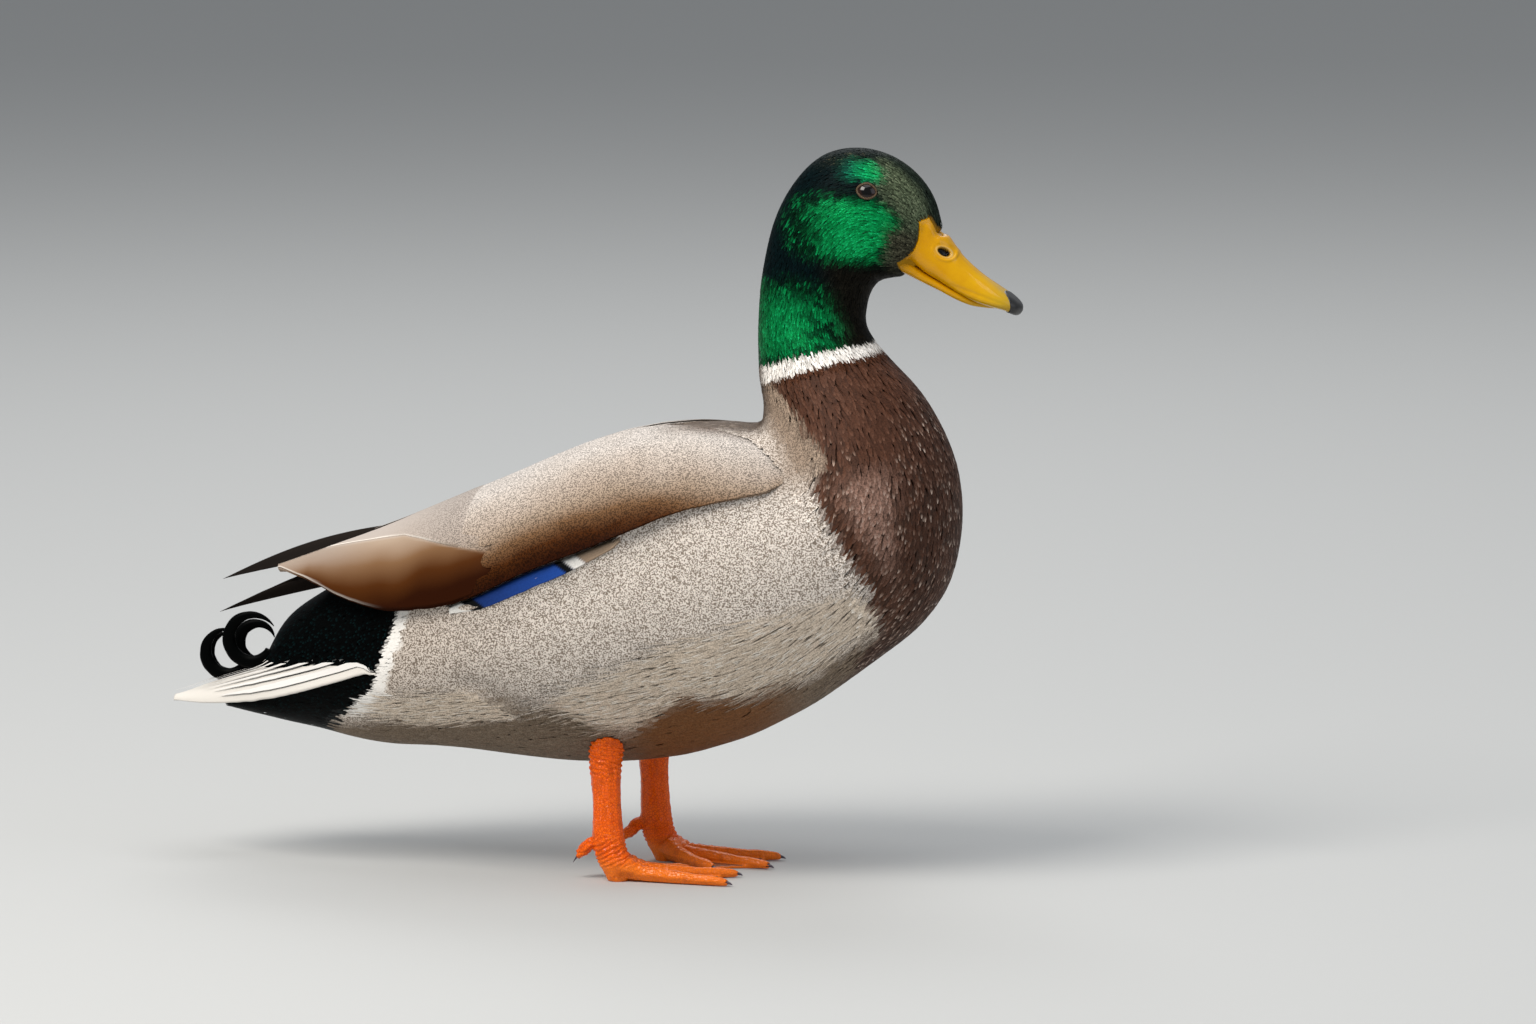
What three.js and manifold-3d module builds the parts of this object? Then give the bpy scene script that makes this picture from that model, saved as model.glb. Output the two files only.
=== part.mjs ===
// A standing mallard drake at life size, as a still model in separate named solids.
// Millimetres. +X points to the bill, +Y to the duck's left, +Z up; the soles rest on z = 0.
import * as THREE from 'three';
import { mergeVertices } from 'three/addons/utils/BufferGeometryUtils.js';
import Module from 'manifold-3d';

const wasm = await Module();
wasm.setup();

// ---------- driving dimensions ----------
const GAP = 0.3; // clearance between neighbouring solids
const FINE = 0.1; // how far a cut solid may be smoothed to drop needless triangles
const EYE = { x: 111, y: 13.1, z: 326.8, radius: 7.2 };
const LEG = { spread: 31, right: -10.3, left: 0.1, ankle: 13 };
const TOES = [
  { name: 'inner', turn: -28, length: 45 },
  { name: 'middle', turn: -4, length: 62 },
  { name: 'outer', turn: 22, length: 60 },
];
const CLAW = 6.5;
const FOOT_SPLAY = -14; // degrees that each foot turns outwards
const RIGHT = -1;
const LEFT = 1;

// ---------- materials ----------
const finish = (color, roughness, metalness = 0) =>
  new THREE.MeshStandardMaterial({ color, roughness, metalness });
const MATERIALS = {
  flank: finish(0xb9ab9c, 0.8),
  green: finish(0x0c5a3a, 0.35, 0.4),
  breast: finish(0x4a2a1d, 0.75),
  wing: finish(0xa08c78, 0.7),
  speculum: finish(0x24418f, 0.4, 0.3),
  primary: finish(0x4a403a, 0.65),
  tail: finish(0xe8e4dc, 0.7),
  curl: finish(0x0c1214, 0.4),
  bill: finish(0xe0a80e, 0.35),
  nail: finish(0x1b1a1c, 0.35),
  eye: finish(0x2a1409, 0.08),
  skin: finish(0xee5f10, 0.45),
  claw: finish(0x2b2320, 0.4),
};

// ---------- general shapes ----------
// A smooth curve through rows of numbers, read by the row number, whole or not.
function through(rows) {
  const parts = [];
  for (let i = 0; i < rows[0].length; i += 3) {
    const points = rows.map((r) => new THREE.Vector3(r[i], r[i + 1] ?? 0, r[i + 2] ?? 0));
    parts.push(new THREE.CatmullRomCurve3(points, false, 'catmullrom', 0.5));
  }
  return (row) => parts.flatMap((curve) => curve.getPoint(row / (rows.length - 1)).toArray());
}

// Turns every face over.
function reversed(geometry) {
  const index = geometry.index.array;
  for (let i = 0; i < index.length; i += 3) {
    [index[i + 1], index[i + 2]] = [index[i + 2], index[i + 1]];
  }
  return geometry;
}

// A closed tube through rings: ring(row, angle) gives a point, and both ends are capped flat.
// grow moves the two end rings outwards, for a tube that is cut from a neighbour.
function tube(ring, { from = 0, to = 1, steps = 10, sides = 12, grow = 0 }) {
  const rings = [];
  for (let i = 0; i <= steps; i += 1) {
    const row = from + ((to - from) * i) / steps;
    const points = [];
    for (let j = 0; j < sides; j += 1) points.push(ring(row, (2 * Math.PI * j) / sides));
    rings.push(points);
  }
  const middle = (points) =>
    points.reduce((sum, p) => sum.add(p), new THREE.Vector3()).divideScalar(points.length);
  const [first, second] = [middle(rings[0]), middle(rings[1])];
  const [beforeLast, last] = [middle(rings[steps - 1]), middle(rings[steps])];
  const startShift = first.clone().sub(second).setLength(grow);
  const endShift = last.clone().sub(beforeLast).setLength(grow);
  rings[0].forEach((p) => p.add(startShift));
  rings[steps].forEach((p) => p.add(endShift));
  const vertices = [...rings.flat(), first.add(startShift), last.add(endShift)];
  const faces = [];
  const start = vertices.length - 2;
  for (let j = 0; j < sides; j += 1) {
    const next = (j + 1) % sides;
    for (let i = 0; i < steps; i += 1) {
      const [a, b] = [i * sides + j, i * sides + next];
      faces.push(a, b, a + sides, b, b + sides, a + sides);
    }
    faces.push(start, next, j, start + 1, steps * sides + j, steps * sides + next);
  }
  const geometry = new THREE.BufferGeometry().setFromPoints(vertices).setIndex(faces);
  return volume(geometry) < 0 ? reversed(geometry) : geometry;
}

// The signed volume inside an indexed geometry.
function volume(geometry) {
  const p = geometry.getAttribute('position');
  const [a, b, c] = [new THREE.Vector3(), new THREE.Vector3(), new THREE.Vector3()];
  let sum = 0;
  for (let i = 0; i < geometry.index.count; i += 3) {
    a.fromBufferAttribute(p, geometry.index.getX(i));
    b.fromBufferAttribute(p, geometry.index.getX(i + 1));
    c.fromBufferAttribute(p, geometry.index.getX(i + 2));
    sum += a.dot(b.cross(c)) / 6;
  }
  return sum;
}

// The same shape on the other side of the body.
const mirrored = (geometry) => reversed(geometry.clone().scale(1, -1, 1));

// A prism from a closed outline. plane 'xz' is a side outline run across y, 'xy' a plan run up z.
function prism(outline, plane, low, high) {
  const shape = new THREE.Shape(outline.map(([x, y]) => new THREE.Vector2(x, y)));
  const made = new THREE.ExtrudeGeometry(shape, { depth: high - low, bevelEnabled: false });
  made.translate(0, 0, low);
  return plane === 'xz' ? made.rotateX(Math.PI / 2).scale(1, -1, 1) : made;
}

// Booleans on closed geometries.
function solid(geometry) {
  const bare = geometry.clone().deleteAttribute('normal').deleteAttribute('uv');
  const merged = mergeVertices(bare, 1e-4);
  const data = { numProp: 3, vertProperties: merged.attributes.position.array };
  const made = new wasm.Manifold(new wasm.Mesh({ ...data, triVerts: new Uint32Array(merged.index.array) }));
  return made.volume() < 0 ? solid(reversed(merged)) : made;
}
function geometryOf(made) {
  const { vertProperties, triVerts } = made.getMesh();
  const geometry = new THREE.BufferGeometry();
  geometry.setAttribute('position', new THREE.BufferAttribute(new Float32Array(vertProperties), 3));
  return geometry.setIndex(new THREE.BufferAttribute(new Uint32Array(triVerts), 1));
}
const join = (...all) => geometryOf(all.map(solid).reduce((a, b) => a.add(b)));
const cut = (from, ...tools) => geometryOf(tools.map(solid).reduce((a, b) => a.subtract(b), solid(from)));
const common = (...all) => geometryOf(all.map(solid).reduce((a, b) => a.intersect(b)));

// Keeps the largest piece of a geometry that a cut left in several, without needless triangles.
function largest(geometry, fine = FINE) {
  const pieces = solid(geometry).decompose();
  return geometryOf(pieces.sort((a, b) => b.volume() - a.volume())[0].simplify(fine));
}

// A signed power, which makes a superellipse from a sine or cosine.
const bend = (value, power) => Math.sign(value) * Math.abs(value) ** (2 / power);

// Fanned sections, one a row: the back point x and z, the half width, the belly point x and z, where
// the section is widest as a share of the way from belly to back, and the powers of its two halves.
function spindle(rows, grow) {
  const at = through(rows);
  return (row, angle) => {
    const [dx, dz, half, vx, vz, widest, upper, lower] = at(row);
    const axis = new THREE.Vector2(dx - vx, dz - vz);
    const depth = axis.length();
    axis.normalize();
    const [c, s] = [Math.cos(angle), Math.sin(angle)];
    const power = c >= 0 ? upper : lower;
    const reach = (c >= 0 ? 1 - widest : widest) * depth + grow;
    const along = widest * depth + bend(c, power) * reach;
    return new THREE.Vector3(vx + axis.x * along, bend(s, power) * (half + grow), vz + axis.y * along);
  };
}

// ---------- flesh: tail coverts to forehead, as spindle rows ----------
const FLESH = [
  [-205.7, 78.3, 4, -207.6, 75, 0.5, 2, 2],
  [-192.2, 84, 10, -189.6, 70.5, 0.5, 2, 2],
  [-183, 92, 15, -181.5, 69.3, 0.48, 2, 2],
  [-176.4, 111.6, 19, -170.5, 66.4, 0.46, 1.8, 2],
  [-163.4, 123.6, 26, -154.6, 64, 0.46, 1.8, 2],
  [-141.8, 136.7, 36, -135.4, 59.3, 0.48, 1.9, 2],
  [-115.3, 149.4, 47, -115.3, 57, 0.5, 2, 1.9],
  [-86.5, 164.6, 58, -91.3, 57.1, 0.5, 2.1, 1.8],
  [-52.9, 181.9, 65, -57.7, 53.3, 0.51, 2.2, 1.7],
  [-19.2, 198, 69, -19.2, 50.9, 0.52, 2.2, 1.7],
  [12, 210, 69.5, 24.1, 55.4, 0.53, 2.2, 1.7],
  [38.4, 215.6, 67, 70, 73.2, 0.53, 2.1, 2],
  [52.9, 215, 62, 111.8, 102.3, 0.52, 1.9, 2],
  [58.5, 217.2, 57, 143.1, 129.2, 0.5, 1.75, 2],
  [59.2, 221.5, 52.5, 153.5, 161.2, 0.48, 1.7, 2],
  [59.3, 226.3, 47, 153.1, 190.1, 0.47, 1.7, 2],
  [58.4, 231.9, 40.5, 144.9, 214.1, 0.47, 1.8, 2],
  [57.6, 238.7, 34, 131.8, 235.1, 0.48, 1.9, 2],
  [57, 246.3, 28.5, 114.9, 250.9, 0.49, 2, 2],
  [57.9, 258.3, 24.5, 108.5, 260.3, 0.5, 2, 2],
  [57.3, 270.2, 22, 108.3, 267.9, 0.5, 2, 2],
  [58.3, 282.2, 20.8, 109.2, 274.2, 0.5, 2, 2],
  [60.5, 295.1, 20.6, 111.4, 280.2, 0.5, 2, 2],
  [64.2, 310.7, 21.4, 114.6, 283.7, 0.5, 2, 2],
  [72.7, 328.3, 22.4, 117.6, 285.2, 0.48, 2, 2.1],
  [87.3, 343.7, 22.6, 120.2, 285.5, 0.45, 2, 2.2],
  [107.3, 347.5, 21.4, 122.5, 286, 0.42, 1.95, 2.3],
  [124.9, 341.8, 18.4, 124.5, 286.4, 0.41, 1.85, 2.3],
  [136.5, 331.8, 14.2, 126.1, 286.4, 0.42, 1.8, 2.3],
  [142.1, 321.5, 9.6, 128.3, 288.4, 0.45, 1.8, 2.2],
  [145.2, 308.6, 3, 129.6, 287.4, 0.5, 1.8, 2],
];
const NECK_BASE = 16; // the rows where the neck and the head begin
const HEAD_BASE = 22;
const HEAD_END = FLESH.length - 1;

const flesh = (from, to, steps, grow = 0) =>
  tube(spindle(FLESH, grow), { from, to, steps, sides: 24, grow });
const CUT_ROWS = GAP / 10; // the share of a row that leaves the gap between two cuts

// ---------- folded wings ----------
// The outer hull over back and wings, front to rear: x, top z, half width, height of the widest
// point, and how thick the folded feathers lie there.
const HULL = [
  [96, 198, 54, 178, 1],
  [74.5, 207.5, 61, 176, 4],
  [52.9, 213.4, 67, 169.5, 7],
  [28.8, 215.7, 71, 163.5, 9],
  [0, 212.3, 73, 156.5, 10],
  [-28.8, 203, 72.5, 149, 10],
  [-57.7, 190, 69, 140, 9.5],
  [-86.5, 177.6, 62, 132.5, 8],
  [-115.3, 165, 51.5, 127.5, 6],
  [-144.2, 154.3, 38, 125.5, 4],
  [-163.4, 148.4, 28.5, 127, 3],
  [-184, 143.2, 19, 128, 2],
];
const HULL_DEPTH = 60; // how far the hull runs on below its widest point

// depth 0 is the outer surface and 1 the underside of the folded wing; grow moves either outwards.
function hull(depth, grow = 0) {
  const at = through(HULL);
  const ring = (row, angle) => {
    const [x, top, half, widest, thick] = at(row);
    const out = grow - depth * thick;
    const [c, s] = [Math.cos(angle), Math.sin(angle)];
    const up = c >= 0 ? top - widest + out : HULL_DEPTH;
    return new THREE.Vector3(x, bend(s, 2.15) * (half + out), widest + bend(c, 2.15) * up);
  };
  return tube(ring, { to: HULL.length - 1, steps: 18, sides: 28, grow: depth });
}

// The wing's lower edge in side view, shoulder to tip, and the flank's upper edge below it.
const WING_EDGE = [
  [90, 201], [74, 191.2], [60.6, 187.8], [42.4, 184], [23.8, 178.6], [-4.5, 166], [-23.8, 158],
  [-43.6, 149.9], [-68.9, 137.5], [-84.7, 132.5], [-105.7, 128.6], [-121.6, 129.2],
  [-137.7, 132.8], [-153.8, 138.5], [-176, 143.7],
];
const FLANK_EDGE = [
  [42, 182.3], [19.2, 174], [-4.7, 159.9], [-16.6, 153.4], [-28.8, 147.6], [-43.8, 140.6],
  [-59.1, 133.8], [-68, 130.8], [-84, 127.8],
];
// The wing's inner edge in plan: the mantle shows between the wings in front, the wing tips behind.
const WING_INNER = [
  [96, -42], [80, -31], [52, -19], [22, -8], [0, -0.15], [-108, -0.15],
  [-124, -6], [-150, -9], [-190, -17],
];
// The space that the wing is cut from ends beyond the widest and the highest part of the body.
const WING_OUT = 100;
const WING_OVER = 260;

const smoothEdge = (points, count) =>
  new THREE.SplineCurve(points.map(([x, y]) => new THREE.Vector2(x, y)))
    .getPoints(count)
    .map((p) => [p.x, p.y]);

function wingSpace(edge, drop) {
  const lower = smoothEdge(edge, 40).map(([x, z]) => [x, z - drop]);
  const rear = lower[lower.length - 1][0];
  const upper = [[rear - 8, WING_OVER], [lower[0][0] + drop, WING_OVER]];
  const side = prism([...lower, ...upper], 'xz', -WING_OUT, 0);
  const plan = WING_INNER.map(([x, y]) => [x, y + drop]);
  plan.push([plan[plan.length - 1][0], -WING_OUT], [plan[0][0], -WING_OUT]);
  return common(side, prism(plan, 'xy', 0, WING_OVER));
}

const wing = largest(cut(common(hull(0), wingSpace(WING_EDGE, 0)), hull(1)));

// The folded secondaries show as a band between the wing's edge and the flank.
const bandSpace = () => {
  const upper = smoothEdge(WING_EDGE, 60)
    .filter(([x]) => x < 8 && x > -82)
    .map(([x, z]) => [x, z - GAP - 0.1]);
  const lower = smoothEdge(FLANK_EDGE, 24).filter(([x]) => x < 8 && x > -82);
  return prism([...upper, ...lower.reverse()], 'xz', -WING_OUT, 0);
};
const BAND_SINK = 2.5; // how far the band lies below the wing's own surface
const secondaries = largest(cut(common(hull(0, -BAND_SINK), bandSpace()), hull(1)));

// What the trunk gives up to the wings, with the gap all round.
const wingRoom = () => {
  const space = join(wingSpace(WING_EDGE, GAP + 0.1), wingSpace(FLANK_EDGE, GAP + 0.1));
  return cut(common(space, hull(0, GAP)), hull(1, -GAP));
};

// ---------- wing tips ----------
// A flat pointed blade along rows of x, y, z, half width and half thickness, tilted about its length.
function blade(rows, tilt, grow = 0) {
  const at = through(rows);
  const lean = THREE.MathUtils.degToRad(tilt);
  const ring = (row, angle) => {
    const [x, y, z, wide, thick] = at(row);
    const across = Math.cos(angle) * (wide + grow);
    const off = Math.sin(angle) * (thick + grow);
    const side = across * Math.cos(lean) - off * Math.sin(lean);
    const up = across * Math.sin(lean) + off * Math.cos(lean);
    return new THREE.Vector3(x, y + side, z + up);
  };
  return tube(ring, { to: rows.length - 1, steps: 8, sides: 6, grow });
}
const leftTip = blade([
  [-118, 4, 156.5, 3, 1], [-142, 5, 152.3, 4.8, 1.1], [-167, 6.5, 145.8, 5.6, 1.1],
  [-181, 7.2, 141.2, 5, 1], [-193, 7.8, 137, 2.8, 0.8], [-205.2, 8, 132.6, 0.4, 0.4],
], 62);
const rightTip = blade([
  [-128, -6, 141, 3.5, 1], [-145, -7.5, 138, 3.8, 1], [-164.5, -9, 133.4, 3.3, 1],
  [-181, -9.5, 128.6, 2.7, 0.9], [-193, -9.5, 123.8, 1.6, 0.7], [-202.6, -9, 119.2, 0.4, 0.4],
], -58);

// ---------- tail ----------
// An arched fan, base to tip: x, ridge z, edge z, half width, thickness.
const FAN = [
  [-118, 101, 99, 44, 3], [-132, 101.2, 95.5, 44, 3], [-150, 99.8, 89.2, 41.5, 3],
  [-167, 97, 84, 36.5, 2.8], [-184, 92.4, 80, 30, 2.4], [-204, 85.8, 77.2, 20, 2],
  [-217, 80.8, 76.4, 12, 1.6], [-227, 77.6, 76, 4, 1.2],
];
function tailRing() {
  const at = through(FAN);
  return (row, angle) => {
    const [x, ridge, edge, half, thick] = at(row);
    // The first half turn runs over the fan's upper side, the second back under it.
    const upper = angle < Math.PI;
    const sweep = upper ? angle : 2 * Math.PI - angle;
    const off = (upper ? 0.5 : -0.5) * thick;
    const [c, s] = [Math.cos(sweep), Math.sin(sweep)];
    const z = edge + s * (ridge - edge + off) + (upper ? 0.01 : -0.01);
    return new THREE.Vector3(x, -c * (half + off), z);
  };
}

// ---------- curled coverts ----------
// Four black feathers that curl forwards over the tail: a crescent along an arc in the xz plane.
const CURLS = [
  { name: 'curl_front_right', x: -187.2, z: 105.5, y: -5.9, start: -36, sweep: 292, tip: 13 },
  { name: 'curl_front_left', x: -187.2, z: 105.5, y: 5.9, start: -36, sweep: 306, tip: 8 },
  { name: 'curl_rear_right', x: -200.2, z: 100.4, y: -2.1, start: -42, sweep: 232, tip: 11.4 },
  { name: 'curl_rear_left', x: -200.2, z: 100.4, y: 2.1, start: -42, sweep: 222, tip: 10.4 },
];
const CURL = { radius: 10.3, deep: 3.3, wide: 1.7 };
function curl({ x, y, z, start, sweep, tip }) {
  const ring = (share, angle) => {
    const turn = THREE.MathUtils.degToRad(start - sweep * share);
    const radius = THREE.MathUtils.lerp(CURL.radius, tip, share ** 2);
    const taper = (1 - share ** 3) ** 0.8 * (0.7 + 0.3 * Math.sin(Math.PI * share)) + 0.08;
    const away = radius + Math.cos(angle) * CURL.deep * taper;
    const side = Math.sin(angle) * CURL.wide * taper;
    return new THREE.Vector3(x + Math.cos(turn) * away, y + side, z + Math.sin(turn) * away);
  };
  return tube(ring, { steps: 13, sides: 5 });
}

// ---------- bill ----------
// Sections like the flesh ones: culmen x and z, half width, edge x and z, widest place, powers.
const UPPER_BILL = [
  [136.8, 320.5, 10.4, 130.2, 295.2, 0.3, 2.6, 3.2],
  [143.5, 313, 10.4, 136.1, 289.7, 0.27, 2.4, 3.4],
  [148, 306.5, 10.2, 143.2, 285.8, 0.25, 2.2, 3.4],
  [152.9, 299.1, 10.1, 147.6, 283.4, 0.24, 2.1, 3.4],
  [158.7, 293.2, 10.3, 153.5, 280.1, 0.23, 2.1, 3.3],
  [165, 287.9, 10.8, 161, 276.1, 0.24, 2.3, 3.2],
  [171.7, 283.1, 11.5, 168.6, 274, 0.28, 2.6, 3],
  [177.2, 279.1, 10.9, 174.8, 272.5, 0.36, 2.8, 2.8],
  [181.7, 275.7, 7.6, 179, 270.2, 0.44, 2.6, 2.4],
  [183.4, 273.2, 2.6, 181, 269.4, 0.5, 2.2, 2],
];
const LOWER_BILL = [
  [124.4, 296.6, 11.6, 126.4, 289.4, 0.6, 2.6, 2.4],
  [130.6, 293.2, 11, 131.8, 286.8, 0.6, 2.8, 2.4],
  [136.4, 288.6, 10, 138, 283.9, 0.6, 3, 2.4],
  [143.4, 284.8, 9, 145, 280.6, 0.6, 3, 2.4],
  [150.6, 281, 9, 152.2, 276.8, 0.6, 3, 2.4],
  [157.6, 277.6, 9.2, 158.8, 274.4, 0.6, 3, 2.4],
  [165, 275.4, 8.6, 165.4, 273.4, 0.6, 3, 2.4],
  [170, 274.4, 5.5, 170, 273, 0.6, 3, 2.4],
];
const upperBill = (grow) =>
  tube(spindle(UPPER_BILL, grow), { to: UPPER_BILL.length - 1, steps: 13, sides: 18, grow });
const lowerBill = (grow) =>
  tube(spindle(LOWER_BILL, grow), { to: LOWER_BILL.length - 1, steps: 7, sides: 12, grow });
// The forehead feathers run down the middle of the bill as a wedge, wider by grow all round.
const WEDGE = [[120, 12], [130, 9.2], [136.5, 6.7], [141.5, 4.4], [144.4, 2.2], [145.4, 0.6]];
const wedgeSpace = (grow) => {
  const right = WEDGE.map(([x, y]) => [x + grow, -y - grow]);
  const left = WEDGE.map(([x, y]) => [x + grow, y + grow]).reverse();
  return prism([...right, ...left], 'xy', 302, 360);
};
const NAIL = { from: 174, to: 190, half: 4.9 };
function nailSpace(grow) {
  const length = NAIL.to - NAIL.from;
  const outline = [];
  for (let i = 0; i <= 12; i += 1) {
    const turn = Math.PI / 2 + (Math.PI * i) / 12;
    const reach = Math.cos(turn) * (length / 2 + grow);
    outline.push([NAIL.from + length / 2 + reach, Math.sin(turn) * (NAIL.half + grow)]);
  }
  outline.push([NAIL.to, -NAIL.half - grow], [NAIL.to, NAIL.half + grow]);
  return prism(outline, 'xy', 260, 300);
}

// ---------- eyes ----------
const eyeball = (side, grow = 0) =>
  new THREE.SphereGeometry(EYE.radius + grow, 12, 8).translate(EYE.x, side * EYE.y, EYE.z);

// ---------- legs ----------
const legX = (side) => (side === RIGHT ? LEG.right : LEG.left);

// The shank, top to ankle: z, x shift, half depth front to back, half width.
const SHANK = [
  [80, 1.6, 9.2, 7.2], [68, 0.8, 8.6, 6.6], [57, 0, 7.8, 5.9], [46, 0, 7.1, 5.1],
  [35, 0.5, 6.9, 4.9], [26, 0.8, 7.4, 5.1], [19, 1.3, 7.9, 5.6], [LEG.ankle, 2.1, 7.8, 6],
  [8, 3.6, 7.4, 6.3], [3.5, 5.2, 6.2, 6], [-0.5, 5.8, 5, 5.2],
];
const ANKLE_ROW = SHANK.length - 4;
function shank(side, from, to, steps, grow = 0) {
  const at = through(SHANK);
  const ring = (row, angle) => {
    const [z, shift, deep, wide] = at(row);
    const x = legX(side) + shift + Math.cos(angle) * (deep + grow);
    return new THREE.Vector3(x, side * LEG.spread + Math.sin(angle) * (wide + grow), z);
  };
  return tube(ring, { from, to, steps, sides: 10, grow });
}

// A toe or claw runs from the ankle along its own heading: distance, z, half height, half width.
function toeTube(side, turn, rows, steps, sides, grow = 0) {
  const at = through(rows);
  const heading = THREE.MathUtils.degToRad(side * (turn + FOOT_SPLAY));
  const ring = (row, angle) => {
    const [far, z, high, wide] = at(row);
    const across = Math.cos(angle) * (wide + grow);
    const x = legX(side) + 3 + far * Math.cos(heading) - across * Math.sin(heading);
    const y = side * LEG.spread + far * Math.sin(heading) + across * Math.cos(heading);
    return new THREE.Vector3(x, y, z + Math.sin(angle) * (high + grow));
  };
  return tube(ring, { to: rows.length - 1, steps, sides, grow });
}
const toeRows = (length) => [
  [-2, 7, 5.4, 5], [7, 6, 5, 4.1], [16, 4.2, 4.1, 3.4], [length * 0.55, 3.2, 3.3, 3],
  [length * 0.68, 2.8, 2.8, 2.6], [length * 0.82, 2.6, 2.7, 2.5],
  [length - CLAW * 0.6, 2.1, 2.1, 1.9], [length - CLAW * 0.3, 1.8, 1.3, 1.2],
];
const clawRows = (length) => [
  [length - CLAW * 0.75, 2, 1.1, 0.9], [length - CLAW * 0.3, 1.9, 0.9, 0.75], [length, 1, 0.25, 0.25],
];
const claw = (side, { turn, length }, grow = 0) => toeTube(side, turn, clawRows(length), 3, 6, grow);

// The web between the toes, a plan whose front edges are scalloped.
const WEB = { thick: 1.3, scallop: 0.72, reach: 0.86 };
function web(side) {
  const point = (turn, far) => {
    const heading = THREE.MathUtils.degToRad(side * (turn + FOOT_SPLAY));
    return [legX(side) + 3 + far * Math.cos(heading), side * LEG.spread + far * Math.sin(heading)];
  };
  const shape = new THREE.Shape();
  shape.moveTo(...point(0, 2));
  TOES.forEach(({ turn, length }, i) => {
    const tip = point(turn, length * WEB.reach);
    if (i === 0) {
      shape.lineTo(...tip);
      return;
    }
    const before = TOES[i - 1];
    const hollow = point((turn + before.turn) / 2, ((length + before.length) / 2) * WEB.scallop);
    shape.quadraticCurveTo(...hollow, ...tip);
  });
  const points = shape.getPoints(5).map((p) => [p.x, p.y]);
  return prism(points, 'xy', 0, WEB.thick);
}
const FLOOR = new THREE.BoxGeometry(200, 200, 20).translate(0, 0, -10);

function foot(side) {
  const toes = TOES.map(({ turn, length }) => toeTube(side, turn, toeRows(length), 7, 6));
  const whole = join(shank(side, ANKLE_ROW, SHANK.length - 1, 5), web(side), ...toes);
  return largest(cut(whole, FLOOR, ...TOES.map((toe) => claw(side, toe, GAP))), FINE / 2);
}

// The small raised hind toe: distance behind the shank, z, half height, half width.
const HALLUX = [[2, 20, 3.5, 2.8], [7, 17.4, 3.3, 2.7], [11, 14.3, 2.9, 2.4], [13.6, 11.8, 2.1, 1.8]];
const HIND_CLAW = [[12.8, 12.4, 1.2, 1], [14.8, 10.2, 0.95, 0.8], [16.4, 7.6, 0.3, 0.3]];
function hindToe(side, rows, steps, grow = 0) {
  const at = through(rows);
  const ring = (row, angle) => {
    const [back, z, high, wide] = at(row);
    const y = side * (LEG.spread - back * 0.12) + Math.cos(angle) * (wide + grow);
    return new THREE.Vector3(legX(side) - back, y, z + Math.sin(angle) * (high + grow));
  };
  return tube(ring, { to: rows.length - 1, steps, sides: 8, grow });
}

// ---------- assembly ----------
const duck = new THREE.Group();
function add(name, geometry, material) {
  const mesh = new THREE.Mesh(geometry, material);
  mesh.name = name;
  duck.add(mesh);
}

const room = wingRoom();
const body = flesh(0, NECK_BASE, 24, GAP);
const trunk = cut(flesh(0, NECK_BASE - CUT_ROWS, 24), room, mirrored(room));
add('trunk', largest(trunk), MATERIALS.flank);
add('neck', flesh(NECK_BASE, HEAD_BASE - CUT_ROWS, 7), MATERIALS.breast);

const beak = cut(upperBill(0), wedgeSpace(GAP));
const beakRoom = cut(upperBill(GAP), wedgeSpace(0));
const sockets = [eyeball(RIGHT, GAP), eyeball(LEFT, GAP)];
const head = cut(flesh(HEAD_BASE, HEAD_END, 16), beakRoom, lowerBill(GAP), ...sockets);
add('head', largest(head), MATERIALS.green);
add('eye_right', eyeball(RIGHT), MATERIALS.eye);
add('eye_left', eyeball(LEFT), MATERIALS.eye);
add('bill_upper', largest(cut(beak, nailSpace(GAP))), MATERIALS.bill);
add('bill_nail', largest(common(beak, nailSpace(0))), MATERIALS.nail);
add('bill_lower', largest(cut(lowerBill(0), upperBill(GAP))), MATERIALS.bill);

add('wing_right', wing, MATERIALS.wing);
add('wing_left', mirrored(wing), MATERIALS.wing);
add('secondaries_right', secondaries, MATERIALS.speculum);
add('secondaries_left', mirrored(secondaries), MATERIALS.speculum);
add('primaries_right', largest(cut(rightTip, body, room)), MATERIALS.primary);
add('primaries_left', largest(cut(leftTip, body, mirrored(room))), MATERIALS.primary);

const fan = tube(tailRing(), { to: FAN.length - 1, steps: 9, sides: 18 });
const tail = largest(cut(fan, body));
add('tail', tail, MATERIALS.tail);
const overFan = fan.clone().translate(0, 0, GAP);
CURLS.forEach((each) => add(each.name, largest(cut(curl(each), body, fan, overFan)), MATERIALS.curl));

for (const side of [RIGHT, LEFT]) {
  const name = side === RIGHT ? 'right' : 'left';
  add(`shank_${name}`, largest(cut(shank(side, 0, ANKLE_ROW - 0.05, 9), body)), MATERIALS.skin);
  add(`foot_${name}`, foot(side), MATERIALS.skin);
  const legRoom = shank(side, 0, SHANK.length - 1, 12, GAP);
  const hind = cut(hindToe(side, HALLUX, 4), legRoom, hindToe(side, HIND_CLAW, 2, GAP));
  add(`hallux_${name}`, largest(hind), MATERIALS.skin);
  add(`claw_hind_${name}`, hindToe(side, HIND_CLAW, 2), MATERIALS.claw);
  TOES.forEach((toe) => add(`claw_${toe.name}_${name}`, claw(side, toe), MATERIALS.claw));
}

// The origin is on the floor under the middle of the whole duck.
const box = new THREE.Box3().setFromObject(duck, true);
const middle = box.getCenter(new THREE.Vector3());
duck.position.set(-middle.x, -middle.y, 0);

export default duck;
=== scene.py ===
"""A standing mallard drake at life size: skin, feather coat, wings, tail, bill, eyes and legs."""
from __future__ import annotations

import itertools
import logging
import math
from dataclasses import dataclass, field
from enum import Enum
from typing import Any

import bpy
import numpy as np
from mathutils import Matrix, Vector
from mathutils.bvhtree import BVHTree

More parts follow.
